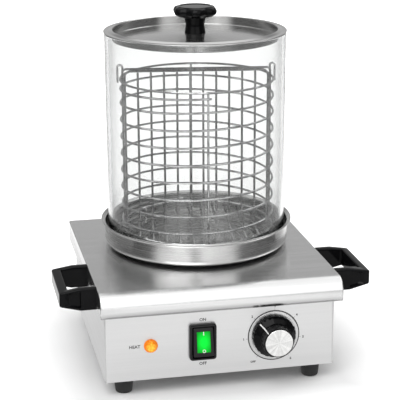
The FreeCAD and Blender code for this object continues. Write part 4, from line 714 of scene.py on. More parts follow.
class STEAMER_OT_cover(Operator):
    """Fold the top cover, with its front bend, its lips and the opening under the bowl"""
    bl_idname = "steamer.cover"
    bl_label = "Top Cover"

    def execute(self, context):
        """The top is a ring surface between the opening's circle and the cover's rectangle.

        Each bend is the rounded path down to the lip's edge, carried along X, and the two sides
        are flat faces inside those paths.
        """
        opening, rear_bend, edge = 70 * MM, 2 * MM, 1.6 * MM
        column_count, row_count, ring_count = 25, 27, 5
        steel = settings().steel
        left, front = low("top_cover")[:2]
        right, rear = high("top_cover")[:2]
        front_path = self.fold(front, steel.cover_bend, steps=16)
        rear_path = self.fold(rear, rear_bend, steps=4)
        first, last = front_path[0, 0], rear_path[0, 0]
        columns, rows = np.linspace(left, right, column_count), np.linspace(first, last, row_count)
        border = np.vstack([np.column_stack(np.broadcast_arrays(x, y))[:-1] for x, y in
                            ((columns, first), (right, rows), (columns[::-1], last),
                             (left, rows[::-1]))])
        from_well = border - WELL[:2]
        circle = WELL[:2] + opening * on_circle(np.arctan2(from_well[:, 1], from_well[:, 0]))
        share = np.linspace(0, 1, ring_count)[:, None, None]
        flat = circle * (1 - share) + border * share
        top = np.dstack((flat, np.full(flat.shape[:2], COVER_TOP)))
        parts = [surface(top, wrap_columns=True)]
        for path in (front_path, rear_path):
            strip = np.zeros((len(path), len(columns), 3))
            strip[..., 0] = columns
            strip[..., 1:] = path[:, None]
            parts.append(surface(strip))
        ridge = np.column_stack((rows, np.full(len(rows), COVER_TOP)))
        side = np.vstack((front_path[::-1], ridge[1:-1], rear_path))
        for x in (left, right):
            parts.append((np.column_stack((np.full(len(side), x), side)), [list(range(len(side)))]))
        thing = piece("cover_sheet", parts, finish("cover"), "base", ("top_cover",),
                      sharp=25)
        face_up(thing.data)
        bevel = thing.modifiers.new("edges", "BEVEL")
        bevel.width = edge
        bevel.segments = 4
        bevel.limit_method = "ANGLE"
        bevel.angle_limit = math.radians(40)
        bevel.harden_normals = True
        wall = thing.modifiers.new("sheet", "SOLIDIFY")
        wall.thickness = steel.sheet
        wall.offset = -1
        return {"FINISHED"}

    def fold(self, y, bend, steps):
        """The path from the flat top round a bend at y and down to the lip's edge."""
        corners = ((0, COVER_TOP), (y, COVER_TOP), (y, LIP_BOTTOM))
        return rounded(corners, (0, bend, 0), steps)[1:]


def face_up(mesh):
    """Turn an open shell's faces so that its highest flat face looks up."""
    top = max(mesh.polygons, key=lambda face: face.center.z)
    if top.normal.z < 0:
        mesh.flip_normals()


class STEAMER_OT_casing(Operator):
    """Give the casing, the bottom plate and their screws their finishes"""
    bl_idname = "steamer.casing"
    bl_label = "Casing"

    def execute(self, context):
        dress("casing", "lower_casing", "bottom_plate", "heater_bridge")
        dress("zinc", "bottom_plate_screws", "foot_screws", "foot_nuts", "handle_screws")
        return {"FINISHED"}


class STEAMER_OT_feet(Operator):
    """Turn the four rubber feet"""
    bl_idname = "steamer.feet"
    bl_label = "Feet"

    def execute(self, context):
        """The profile runs down the screw's hole and the recess, and up the tapered outside."""
        hole, recess, depth, toe, ankle, height = 2.05, 4.8, 9, 9, 11, 17.5
        path = outline(((hole, depth, 0), (recess, depth, 0.3), (recess, 0, 0.5), (toe, 0, 1.6),
                        (ankle, height, 0.6), (hole, height, 0)), 5, closed=True)
        for name in ("front_left", "front_right", "rear_left", "rear_right"):
            node = f"foot_{name}"
            piece(f"rubber_{name}", [lathe(path, middle(node) * (1, 1, 0), steps=48, closed=True)],
                  finish("rubber"), "base", (node,))
        return {"FINISHED"}


class STEAMER_OT_handles(Operator):
    """Mould the two loop handles"""
    bl_idname = "steamer.handles"
    bl_label = "Handles"

    # Half the loop's width, the thickness of an arm and of the bar, and two roundings
    HALF, ARM, BAR = 40 * MM, 8.5 * MM, 9.5 * MM
    ROUND, EDGE = 2 * MM, 1.5 * MM
    # Points round an edge, up a wall, along an arm and along the bar
    EDGE_COUNT, WALL_COUNT, ARM_COUNT, BAR_COUNT = 5, 19, 30, 9
    # Side profile: distances from the cover, and the heights of the loop's top and bottom there
    TAPER = np.array((0, 17, 38.5)) * MM
    TOPS = np.array((0, 0, -3.5)) * MM
    BOTTOMS = np.array((-24, -24, -18.5)) * MM

    def execute(self, context):
        for name, side in (("handle_right", 1), ("handle_left", -1)):
            reach = abs(high(name)[0] if side > 0 else low(name)[0])
            piece(f"{name}_moulding", capped(self.loop(side, middle(name)[1], reach)),
                  finish("black"), "base", (name,), sharp=28)
        return {"FINISHED"}

    def loop(self, side, centre_y, reach):
        """A grid that is carried round a U-shaped path in plan.

        At each station the section is a rounded four-sided ring between the loop's outer and
        inner outline, and its top and bottom follow the height that the side profile has at
        that x. On the arms' outer faces a pocket is pushed in.
        """
        base = float(high("top_cover")[0])
        half = self.HALF
        near, far = half - self.ARM, reach - self.BAR
        plan_out = self.stations(((base, -half), (reach, -half), (reach, half), (base, half)))
        plan_in = self.stations(((base, -near), (far, -near), (far, near), (base, near)))
        inwards = unit(plan_in - plan_out)
        arc = np.linspace(0, QUARTER_TURN, self.EDGE_COUNT)
        drops = np.column_stack((1 - np.sin(arc), 1 - np.cos(arc))) * self.EDGE
        rows = []
        for plan, shift, outside in ((plan_out, inwards, True), (plan_in, -inwards, False)):
            out = plan[:, 0] - base
            top = COVER_TOP + np.interp(out, self.TAPER, self.TOPS)
            bottom = COVER_TOP + np.interp(out, self.TAPER, self.BOTTOMS)
            lower = [np.column_stack((plan + shift * e, bottom + d)) for e, d in drops]
            upper = [np.column_stack((plan + shift * e, top - d)) for e, d in drops]
            wall = []
            for share in np.linspace(0, 1, self.WALL_COUNT)[1:-1]:
                z = bottom + self.EDGE + (top - bottom - 2 * self.EDGE) * share
                pocket = self.pocket_depth(out, plan[:, 1], z - bottom, top - z) if outside else 0 * z
                wall.append(np.column_stack((plan + shift * pocket[:, None], z)))
            climb = lower + wall + upper[::-1]
            rows += climb if outside else climb[::-1]
        grid = np.stack(rows, axis=1)
        grid[..., 0] *= side
        grid[..., 1] += centre_y
        return grid

    def stations(self, corners):
        """The same number of points on the arms, the corners and the bar for both outlines."""
        corners = np.array(corners)
        path = rounded(corners, self.ROUND)
        bend = (len(path) - 2) // 2
        along_arm = np.linspace(0, 1, self.ARM_COUNT)[1:-1, None]
        along_bar = np.linspace(0, 1, self.BAR_COUNT)[1:-1, None]
        first = corners[0] + (path[1] - corners[0]) * along_arm
        bar = path[bend] + (path[bend + 1] - path[bend]) * along_bar
        last = path[-2] + (corners[-1] - path[-2]) * along_arm
        return np.vstack((path[:1], first, path[1:bend + 1], bar, path[bend + 1:-1], last, path[-1:]))

    def pocket_depth(self, out, y, above, below):
        """Depth of the pocket in the arms' outer faces: 4 mm inside a rim, 0 elsewhere.

        out and y are the place in plan, above and below the distances from bottom and top.
        """
        depth, start, end, rim, slope = 4, 17, 32.5, 3, 0.35
        on_arm = np.abs(np.abs(y) - self.HALF) < 1e-6
        sides = ramp(out, start, slope) * ramp(-out, -end, slope)
        levels = ramp(above, rim, slope) * ramp(below, rim, slope)
        return depth * MM * sides * levels * on_arm


class STEAMER_OT_bowl(Operator):
    """Spin the water bowl and the ring that carries the glass"""
    bl_idname = "steamer.bowl"
    bl_label = "Water Bowl"

    def execute(self, context):
        """The bowl's profile runs out under its floor, up its wall, round the flared rim and back.

        The ring's section is a Z, with its inner flange on the bowl's floor.
        """
        t = settings().steel.sheet / MM
        base = WELL + (0, 0, low("water_bowl")[2])
        wall, rise, rim, height, lip = 104, 24, 108, 27, 1
        shell = outline(((0, 0, 0), (wall, 0, 6), (wall, rise, 2.5), (rim, height - lip, 0.3),
                         (rim, height, 0.45), (rim - lip, height, 0.45), (wall - t, rise + lip, 2.5),
                         (wall - t, t, 5), (0, t, 0)), 8)
        piece("bowl_shell", [lathe(shell, base, steps=160)], finish("bowl"), "base",
              ("water_bowl",), sharp=50)
        inner, web, outer, top = 86, 92.5, 101.5, 7
        seat = outline(((inner, 0, 0.2), (web, 0, 1.2), (web, top - t, 0.5), (outer, top - t, 0.2),
                        (outer, top, 0.2), (web - t, top, 1.2), (web - t, t, 0.5), (inner, t, 0.2)),
                       4, closed=True)
        piece("seat_ring", [lathe(seat, base + (0, 0, t * MM), steps=128, closed=True)],
              finish("bowl"), "base", ("glass_seat_ring",), sharp=50)
        dress("gasket", "bowl_gasket")
        return {"FINISHED"}


class STEAMER_OT_glass(Operator):
    """Form the glass cylinder with polished edges"""
    bl_idname = "steamer.glass"
    bl_label = "Glass"

    def execute(self, context):
        """The wall's section is a tall rectangle with rounded corners, turned about the axis."""
        inner, outer, polish = 96 * MM, 100 * MM, 1.2 * MM
        foot, top = float(low("glass_cylinder")[2]), float(high("glass_cylinder")[2])
        corners = ((inner, foot), (outer, foot), (outer, top), (inner, top))
        path = rounded(corners, polish, closed=True)
        piece("steam_glass", [lathe(path, WELL, steps=200, closed=True)], finish("glass"), "glass",
              ("glass_cylinder",), sharp=60)
        return {"FINISHED"}


class STEAMER_OT_lid(Operator):
    """Press the lid and mould its knob"""
    bl_idname = "steamer.lid"
    bl_label = "Lid"

    FRONT_LOBE = math.radians(-97)

    def execute(self, context):
        """Heights are measured from the lid's flange, and the knob's from the pan's middle.

        The knob's head has six lobes, one of them near the front. Between the lobes its radius is
        lowered by a power of a raised cosine of six times the angle.
        """
        t = settings().steel.sheet / MM
        flange_top = WELL + (0, 0, high("lid_pan")[2])
        hole, flat, pan, seat, flange = 2.45, 14, 91.8, 96, 101
        crown, depth, rise = -4.5, -9.5, 2
        sheet = outline(((hole, crown, 0), (flat, crown, 80), (pan, depth, 1.4), (pan, rise - t, 0.3),
                         (seat, -t, 2), (flange, -t, 0.45), (flange, 0, 0.45), (seat, 0, 2),
                         (pan - t, rise, 0.9), (pan - t, depth + t, 0.5), (flat, crown + t, 80),
                         (hole, crown + t, 0)), closed=True)
        piece("lid_sheet", [lathe(sheet, flange_top, steps=160, closed=True)], finish("lid"), "lid",
              ("lid_pan",), sharp=50)
        floor = flange_top + (0, 0, (crown + t) * MM)
        bore, top, face = 14, 29.8, 29.1
        knob = outline(((hole, 0, 0), (11.6, 0, 0.4), (10.1, 9, 10), (12, 17.6, 1.0), (20, 18.6, 3),
                        (24.6, 21.4, 3), (25.4, 25, 3), (23.6, 28.2, 2.5), (18.6, top, 0.5),
                        (17.2, top, 0.4), (16.4, face, 0.4), (0, face, 0)), 8)
        knob = np.vstack((np.array(((0, bore), (hole, bore))) * MM, knob))

        lobe_count, lobe_depth, steepness = 6, 3.6 * MM, 1.5

        def lobes(angle, r, h):
            between = 1 - ripple(angle - self.FRONT_LOBE, lobe_count)
            return r - lobe_depth * ramp(r, 18.5, 5) * between ** steepness

        piece("lid_knob_moulding", [lathe(knob, floor, steps=192, wobble=lobes)], finish("black"),
              "lid", ("lid_knob",), sharp=60)
        head, washer, shank, tip = 4.4, 7.5, 2.4, 11.4
        screw = np.array(((0, -4.6), (head - 0.8, -4.6), (head, -3.8), (head, -2), (washer, -2),
                          (washer, -1), (shank, -1), (shank, tip), (0, tip))) * MM
        piece("lid_knob_fastener", [lathe(screw, floor + (0, 0, (1 - t) * MM), steps=48)],
              finish("zinc"), "lid", ("lid_knob_washer", "lid_knob_screw"), sharp=30)
        return {"FINISHED"}


class STEAMER_OT_basket(Operator):
    """Bend and wind the basket's wires"""
    bl_idname = "steamer.basket"
    bl_label = "Basket"

    # Radius of the rings, and the heights of the floor's wires, the top ring and the rail
    RADIUS = 85 * MM
    FLOOR, TOP, RAIL = 15.9 * MM, 186.2 * MM, 196.7 * MM
    # How far the basket sits to the right of the well, and the gap left between two wires
    SHIFT, GAP = 1.5 * MM, 0.05 * MM
    BARS = 10
    # Points of the coil in one turn, of a hoop and of a bend
    COIL_COUNT, HOOP_COUNT, BEND_STEPS = 72, 120, 8
    COIL_START, COIL_DROP = math.radians(-82.5), 6.4 * MM
    UPRIGHTS = -84.9, 91.5

    def execute(self, context):
        """Each wire lies one step inside or below the wire that it is welded to."""
        rail_bend, frame_bend = 4 * MM, 6.5 * MM
        w = settings().basket.wire
        step = 2 * w + self.GAP
        ring, floor, rail = self.RADIUS, self.FLOOR, self.RAIL
        near, inside = ring - step, ring - 2 * step
        foot = floor + w + self.GAP
        pitch = 2 * inside / (self.BARS + 1)
        places = pitch * (np.arange(1, self.BARS + 1) - (self.BARS + 1) / 2)
        leg_x = 4 * pitch
        leg_y = math.sqrt(near ** 2 - leg_x ** 2)
        chords = zip(places, np.sqrt(ring ** 2 - places ** 2))
        wires = {
            "basket_coil": [self.coil(step)],
            "basket_top_ring": [self.hoop(self.TOP)],
            "basket_floor_ring": [self.hoop(floor + step)],
            "basket_uprights": [self.upright(*(near * on_circle(math.radians(d))[0]), foot, self.TOP + w)
                                for d in self.UPRIGHTS],
            "basket_floor_wires": [self.wire(((x, -y, floor), (x, 0, floor), (x, y, floor)), (0, 0, 1))
                                   for x, y in chords],
            "basket_legs": [self.upright(x, y, 0, floor + step + w) for x in (-leg_x, leg_x)
                            for y in (-leg_y, leg_y)],
            "basket_rail": [self.arch(near, foot, rail, rail_bend)],
            "basket_partition_frame": [self.arch(inside, foot, rail - step, frame_bend)],
            "basket_partition_wires": [self.upright(x, 0, foot, rail - step - w - self.GAP)
                                       for x in places],
            "basket_ears": [self.ear(math.sqrt(near ** 2 - step ** 2), step, s) for s in (-1, 1)],
        }
        for node, parts in wires.items():
            # The partition and rail take the darker wire, whose darkness is painted shade.
            look = "wire_in_painted_shade" if "partition" in node or "rail" in node else "wire"
            piece(f"{node}_wire", parts, finish(look), "basket", (node,))
        return {"FINISHED"}

    def wire(self, points, side=(0, 1, 0), closed=False):
        """A wire through points in the basket's own frame, which has the partition along X."""
        wish = settings().basket
        turn = np.array(Matrix.Rotation(wish.turn, 3, "Z"))
        path = np.asarray(points) @ turn.T + WELL + (self.SHIFT, 0, BASKET_FEET)
        return tube(path, wish.wire, np.asarray(side, float) @ turn.T, closed=closed)

    def coil(self, step):
        """The helix (R cos t, R sin t, z - pitch * turns), tighter in its first turn.

        It ends at the last quarter turn that leaves room above the floor's ring.
        """
        wish = settings().basket
        first = self.TOP - self.COIL_DROP
        room = first - wish.first_pitch - self.FLOOR - 2 * step
        turns = 1 + math.floor(4 * room / wish.pitch) / 4
        wound = np.linspace(0, turns, int(turns * self.COIL_COUNT) + 1)
        fall = np.where(wound < 1, wish.first_pitch * wound,
                        wish.first_pitch + wish.pitch * (wound - 1))
        outward = on_circle(self.COIL_START - TURN * wound)
        return self.wire(np.column_stack((self.RADIUS * outward, first - fall)),
                         np.column_stack((outward, 0 * wound)))

    def hoop(self, height):
        circle = self.RADIUS * on_circle(around(self.HOOP_COUNT))
        return self.wire(np.column_stack((circle, np.full(len(circle), height))), (0, 0, 1), True)

    def arch(self, half, foot, height, bend):
        corners = ((-half, 0, foot), (-half, 0, height), (half, 0, height), (half, 0, foot))
        return self.wire(rounded(corners, bend, self.BEND_STEPS))

    def upright(self, x, y, start, end):
        return self.wire(((x, y, start), (x, y, (start + end) / 2), (x, y, end)), (1, 0, 0))

    def ear(self, near, y, side):
        """A hook that rises beside the rail's end, turns over outwards and hangs down again."""
        width, rise, near_drop, far_drop, bend = np.array((5.6, 4.25, 20, 15.75, 2.75)) * MM
        far, top = near + width, self.RAIL + rise
        corners = ((side * near, y, self.RAIL - near_drop), (side * near, y, top),
                   (side * far, y, top), (side * far, y, self.RAIL - far_drop))
        return self.wire(rounded(corners, bend, self.BEND_STEPS))


class STEAMER_OT_dial(Operator):
    """Mould the dial, with its metal cap, pointer line and trim ring"""
    bl_idname = "steamer.dial"
    bl_label = "Dial"

    def execute(self, context):
        """Profiles are pairs of a radius and a distance in front of the panel.

        The grip and the skirt have fine flutes: their radius falls by a cosine of the angle.
        """
        bore, bore_end, recess, face = 3.05, 20.2, 15.05, 22.2
        body = outline(((bore, 3.6, 0), (21, 3.6, 0.3), (21, 0.8, 0.4), (23.4, 0.8, 0.6),
                        (23.4, 5, 1.2), (21, 7.4, 3), (17, 11.4, 2.5), (16.2, 23.2, 0.5),
                        (recess, 23.2, 0.3), (recess, face, 0.2), (0, face, 0)))
        body = np.vstack((np.array(((0, bore_end), (bore, bore_end))) * MM, body))

        flute_count, grip_cut, skirt_cut = 24, 0.25 * MM, 0.5 * MM

        def flutes(angle, r, h):
            cuts = ripple(angle, flute_count)
            on_grip = ramp(h, 11, 3) * ramp(r, 14, 1.5)
            on_skirt = ramp(r, 21.6, 1.6)
            return r - grip_cut * on_grip * cuts - skirt_cut * on_skirt * cuts ** 3

        piece("dial_moulding", [lathe(body, DIAL_SEAT, AXIS_FRONT, 240, wobble=flutes)],
              finish("black"), "dial", ("dial_knob",))
        cap, front = 15, 24
        path = outline(((0, face, 0), (cap, face, 0.1), (cap, front, 0.5), (0, front, 0)), 5)
        share = np.linspace(1, 0, 9)[1:]
        disc = np.column_stack((share * path[-2][0], np.full(len(share), front * MM)))
        piece("dial_cap_disc", [lathe(np.vstack((path[:-1], disc)), DIAL_SEAT, AXIS_FRONT, 120)],
              finish("cap"), "dial", ("dial_cap",))
        inner, outer, raised = 24.2, 27.4, 0.8
        ring = outline(((inner, 0, 0.05), (outer, 0, 0.05), (outer, raised, 0.6),
                        (inner, raised, 0.2)), 5, closed=True)
        piece("dial_trim", [lathe(ring, DIAL_SEAT, AXIS_FRONT, 160, closed=True)], finish("trim"),
              "base", ("dial_trim_ring",))
        dress("zinc", "thermostat_shaft")
        turn = settings().controls.pointer
        half, thick = 0.7 * MM, 0.3 * MM
        line = outline(((22.9, 5.9, 0), (21.1, 7.8, 2), (17.4, 11.6, 2), (16.45, 23.3, 0)))
        path = np.column_stack((line[:, :1] * on_circle(turn), line[:, 1]))
        side = np.array((-math.sin(turn), math.cos(turn), 0))
        strip = ribbon(path, side, half, thick) @ AXIS_FRONT.T + DIAL_SEAT
        piece("dial_pointer_line", [surface(strip, wrap_columns=True)], finish("white"), "dial",
              ("dial_pointer",))
        return {"FINISHED"}


class STEAMER_OT_switch(Operator):
    """Mould the rocker switch: frame, rocker, lit lens and marks"""
    bl_idname = "steamer.switch"
    bl_label = "Switch"

    def execute(self, context):
        """The frame is a stack of rounded rectangles from its collar to its face and in again."""
        centre = on_panel("switch_frame")
        collar, flange, opening = (24.6, 36.4, 0.6), (29, 40, 3), (23, 34.8, 1.2)
        levels = ((*collar, -18), (*collar, 0), (*flange, 0), (*flange, 3.4), (28.6, 39.6, 3, 4.5),
                  (27.8, 38.8, 2.8, 5.2), (26.6, 37.6, 2.4, 5.5), (24.6, 36.4, 2.0, 5.5),
                  (23.4, 35.2, 1.4, 5.0), (*opening, 4.2), (*opening, -18))
        grid = stack(levels, AXIS_FRONT, centre)
        piece("switch_surround", [surface(grid, wrap_rows=True, wrap_columns=True)],
              finish("satin_black"), "base", ("switch_frame",), sharp=40)
        tilt = settings().controls.tilt
        self.rocker(centre + (0, 1 * MM, 0), AXIS_FRONT @ np.array(Matrix.Rotation(-tilt, 3, "X")))
        dress("satin_black", "switch_body")
        dress("brass", "switch_terminals")
        return {"FINISHED"}

    def rocker(self, pivot, lean):
        """The rocker and its lens are stacks from their roots to their softly edged faces."""

        def on_face(points):
            return points @ lean.T + pivot

        window, face = (14.6, 22.6, 0.8), 8.2
        levels = ((22, 18, 0.5, -7), (22, 31.6, 0.8, -1), (22, 31.6, 1.2, 6.6), (21.7, 31.3, 1.4, 7.5),
                  (21.0, 30.6, 1.5, 8.0), (20.0, 29.6, 1.5, face), (*window, face), (*window, 7.0))
        radius, reach = 1.45, 12.2
        pin = np.array(((0, -reach), (radius, -reach), (radius, reach), (0, reach))) * MM
        points, faces = lathe(pin, (0, 0, 0), AXIS_RIGHT, 24)
        piece("rocker_moulding", capped(stack(levels, lean, pivot)) + [(on_face(points), faces)],
              finish("satin_black"), "rocker", ("switch_rocker",), sharp=40)
        levels = ((14.5, 22.5, 0.8, 7.0), (14.5, 22.5, 0.8, face), (14.1, 22.1, 0.8, 8.5),
                  (13.4, 21.4, 0.7, 8.6))
        colour = np.array(settings().controls.lens_colour)
        green = lit_lens("steamer_green_lens", middle("rocker_lens"), colour, colour * 0.35,
                         (8.5, 12.5), 0.52)
        piece("rocker_lens_window", capped(stack(levels, lean, pivot)), green, "rocker",
              ("rocker_lens",), sharp=40)
        depths = (8.55 * MM, 8.75 * MM)
        half, tall, up = 0.45 * MM, 1.9 * MM, 9.4 * MM
        bar = np.array(((-half, up - tall), (half, up - tall), (half, up + tall), (-half, up + tall)))
        piece("rocker_mark_on", [plate(bar, depths, on_face)], finish("white"), "rocker", ())
        inner, outer, down = 1.15 * MM, 1.8 * MM, 9.6 * MM
        ring = np.array(((inner, depths[0]), (outer, depths[0]), (outer, depths[1]),
                         (inner, depths[1])))
        points, faces = lathe(ring, (0, -down, 0), AXIS_UP, 32, closed=True)
        piece("rocker_mark_off", [(on_face(points), faces)], finish("white"), "rocker", ())


class STEAMER_OT_lamp(Operator):
    """Form the pilot lamp's faceted amber lens"""
    bl_idname = "steamer.lamp"
    bl_label = "Pilot Lamp"

    def execute(self, context):
        """Above its flange the dome's radius is lowered by a cosine of twelve times the angle."""
        flange, dome, top = 7.4, 6.6, 7.0
        centre = on_panel("lamp_lens")
        path = outline(((0, 0, 0), (flange, 0, 0.1), (flange, 1.6, 0.5), (dome, 1.7, 0.2),
                        (6.2, 4.2, 2.5), (4.2, top, 2.0), (0, top, 0)))

        facet_count, facet_cut = 12, 0.035

        def facets(angle, r, h):
            return r * (1 - facet_cut * ramp(h, 1.9, 1) * ripple(angle, facet_count))

        colour = np.array(settings().controls.lamp_colour)
        amber = lit_lens("steamer_amber_lens", centre, (1.0, 0.55, 0.06), colour * 0.75, (7, 7), 0.40,
                         facets=1.3)
        piece("pilot_lens", [lathe(path, centre, AXIS_FRONT, wobble=facets)], amber, "base",
              ("lamp_lens",))
        dress("satin_black", "lamp_body")
        dress("zinc", "lamp_nut")
        return {"FINISHED"}


class STEAMER_OT_markings(Operator):
    """Print the dial's scale and the plain words on the front panel"""
    bl_idname = "steamer.markings"
    bl_label = "Markings"

    # Plain words, the node that each stands beside, how far right and up of its middle, and size
    WORDS = (("ON", "switch_frame", 0.4, 24.2, 4.6), ("OFF", "switch_frame", 0.4, -25.6, 4.6),
             ("HEAT", "lamp_lens", -17.2, -0.2, 4.8))
    # Words of the dial's scale, their directions in degrees, distances from its axis and sizes
    SCALE = (("OFF", 232, 36.5, 3.2), ("1", 184, 33, 3.8), ("2", 136, 33, 3.8), ("3", 88, 33, 3.8),
             ("4", 40, 33, 3.8), ("5", -8, 33, 3.8), ("6", -56, 34, 3.8))

    def execute(self, context):
        for words, node, right, up, size in self.WORDS:
            x, _, z = middle(node) + np.array((right, 0, up)) * MM
            self.printed(f"word_{words.lower()}", words, x, z, size)
        inner, outer, half, thick = 28.6 * MM, 30.2 * MM, 0.15 * MM, 0.08 * MM
        ticks = []
        for words, degrees, reach, size in self.SCALE:
            out = on_circle(math.radians(degrees))[0]
            side = np.array((-out[1], out[0])) * half
            x, z = DIAL[[0, 2]] + out * reach * MM
            self.printed(f"scale_{words.lower()}", words, x, z, size)
            corners = np.array((out * inner - side, out * outer - side, out * outer + side,
                                out * inner + side))
            ticks.append(plate(corners, (0.0, thick), lambda p: p @ AXIS_FRONT.T + DIAL_SEAT))
        piece("scale_ticks", ticks, finish("print"), "base", ())
        line = np.array(((27.5, 0), (28.4, 0), (28.4, 0.1), (27.5, 0.1))) * MM
        piece("scale_ring", [lathe(line, DIAL_SEAT, AXIS_FRONT, 160, closed=True)], finish("print"),
              "base", ())
        return {"FINISHED"}

    def printed(self, name, words, x, z, size):
        """Flat lettering on the front panel, as a thin mesh centred on x and z."""
        raised = 0.06 * MM
        curve = bpy.data.curves.new(name, "FONT")
        curve.body = words
        curve.size = size * MM
        curve.align_x = "CENTER"
        curve.align_y = "CENTER"
        curve.extrude = 0.04 * MM
        curve.resolution_u = 3
        curve.offset = 0.09 * MM
        text = add_object(name, curve)
        view = bpy.context.evaluated_depsgraph_get()
        mesh = bpy.data.meshes.new_from_object(text.evaluated_get(view))
        bpy.data.objects.remove(text)
        place = Matrix.Translation((x, PANEL_Y - raised, z))
        mesh.transform(place @ Matrix.Rotation(QUARTER_TURN, 4, "X"))
        mesh.materials.clear()
        mesh.materials.append(finish("print"))
        thing = add_object(name, mesh)
        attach(thing, "base")


class STEAMER_OT_cable_entry(Operator):
    """Mould the cable gland's ribbed cap and finish its body and nut"""
    bl_idname = "steamer.cable_entry"
    bl_label = "Cable Entry"

    def execute(self, context):
        """The cap's radius falls by a cosine of eighteen times the angle where it is widest."""
        bore, wide, mouth, start, end = 4, 10, 6.5, 6, 24
        centre = middle("cable_gland_cap") * (1, 0, 1) + (0, high("bottom_plate")[1], 0)
        path = outline(((bore, start, 0.2), (wide, start, 0.6), (wide, 15, 3), (mouth, end, 1.2),
                        (bore, end, 0.6)), closed=True)

        rib_count, rib_cut = 18, 0.5 * MM

        def ribs(angle, r, h):
            return r - rib_cut * ramp(r, 7, 2) * ripple(angle, rib_count) ** 2

        piece("gland_cap", [lathe(path, centre, AXIS_REAR, 144, True, ribs)], finish("satin_black"),
              "base", ("cable_gland_cap",))
        dress("satin_black", "cable_gland_body", "cable_gland_nut")
        return {"FINISHED"}


class STEAMER_OT_inner_parts(Operator):
    """Finish the heater, the thermostat and the terminals inside the base"""
    bl_idname = "steamer.inner_parts"
    bl_label = "Inner Parts"

    def execute(self, context):
        dress("cast", "heater_plate")
        dress("sheath", "heating_element")
        dress("zinc", "bowl_stud", "heater_spacer", "heater_nut", "thermostat_screws",
              "terminal_screws")
        dress("copper", "thermostat_bulb")
        dress("brass", "earth_screw")
        dress("nylon_white", "thermostat_body", "terminal_block")
        dress("satin_black", "thermal_cutout")
        return {"FINISHED"}


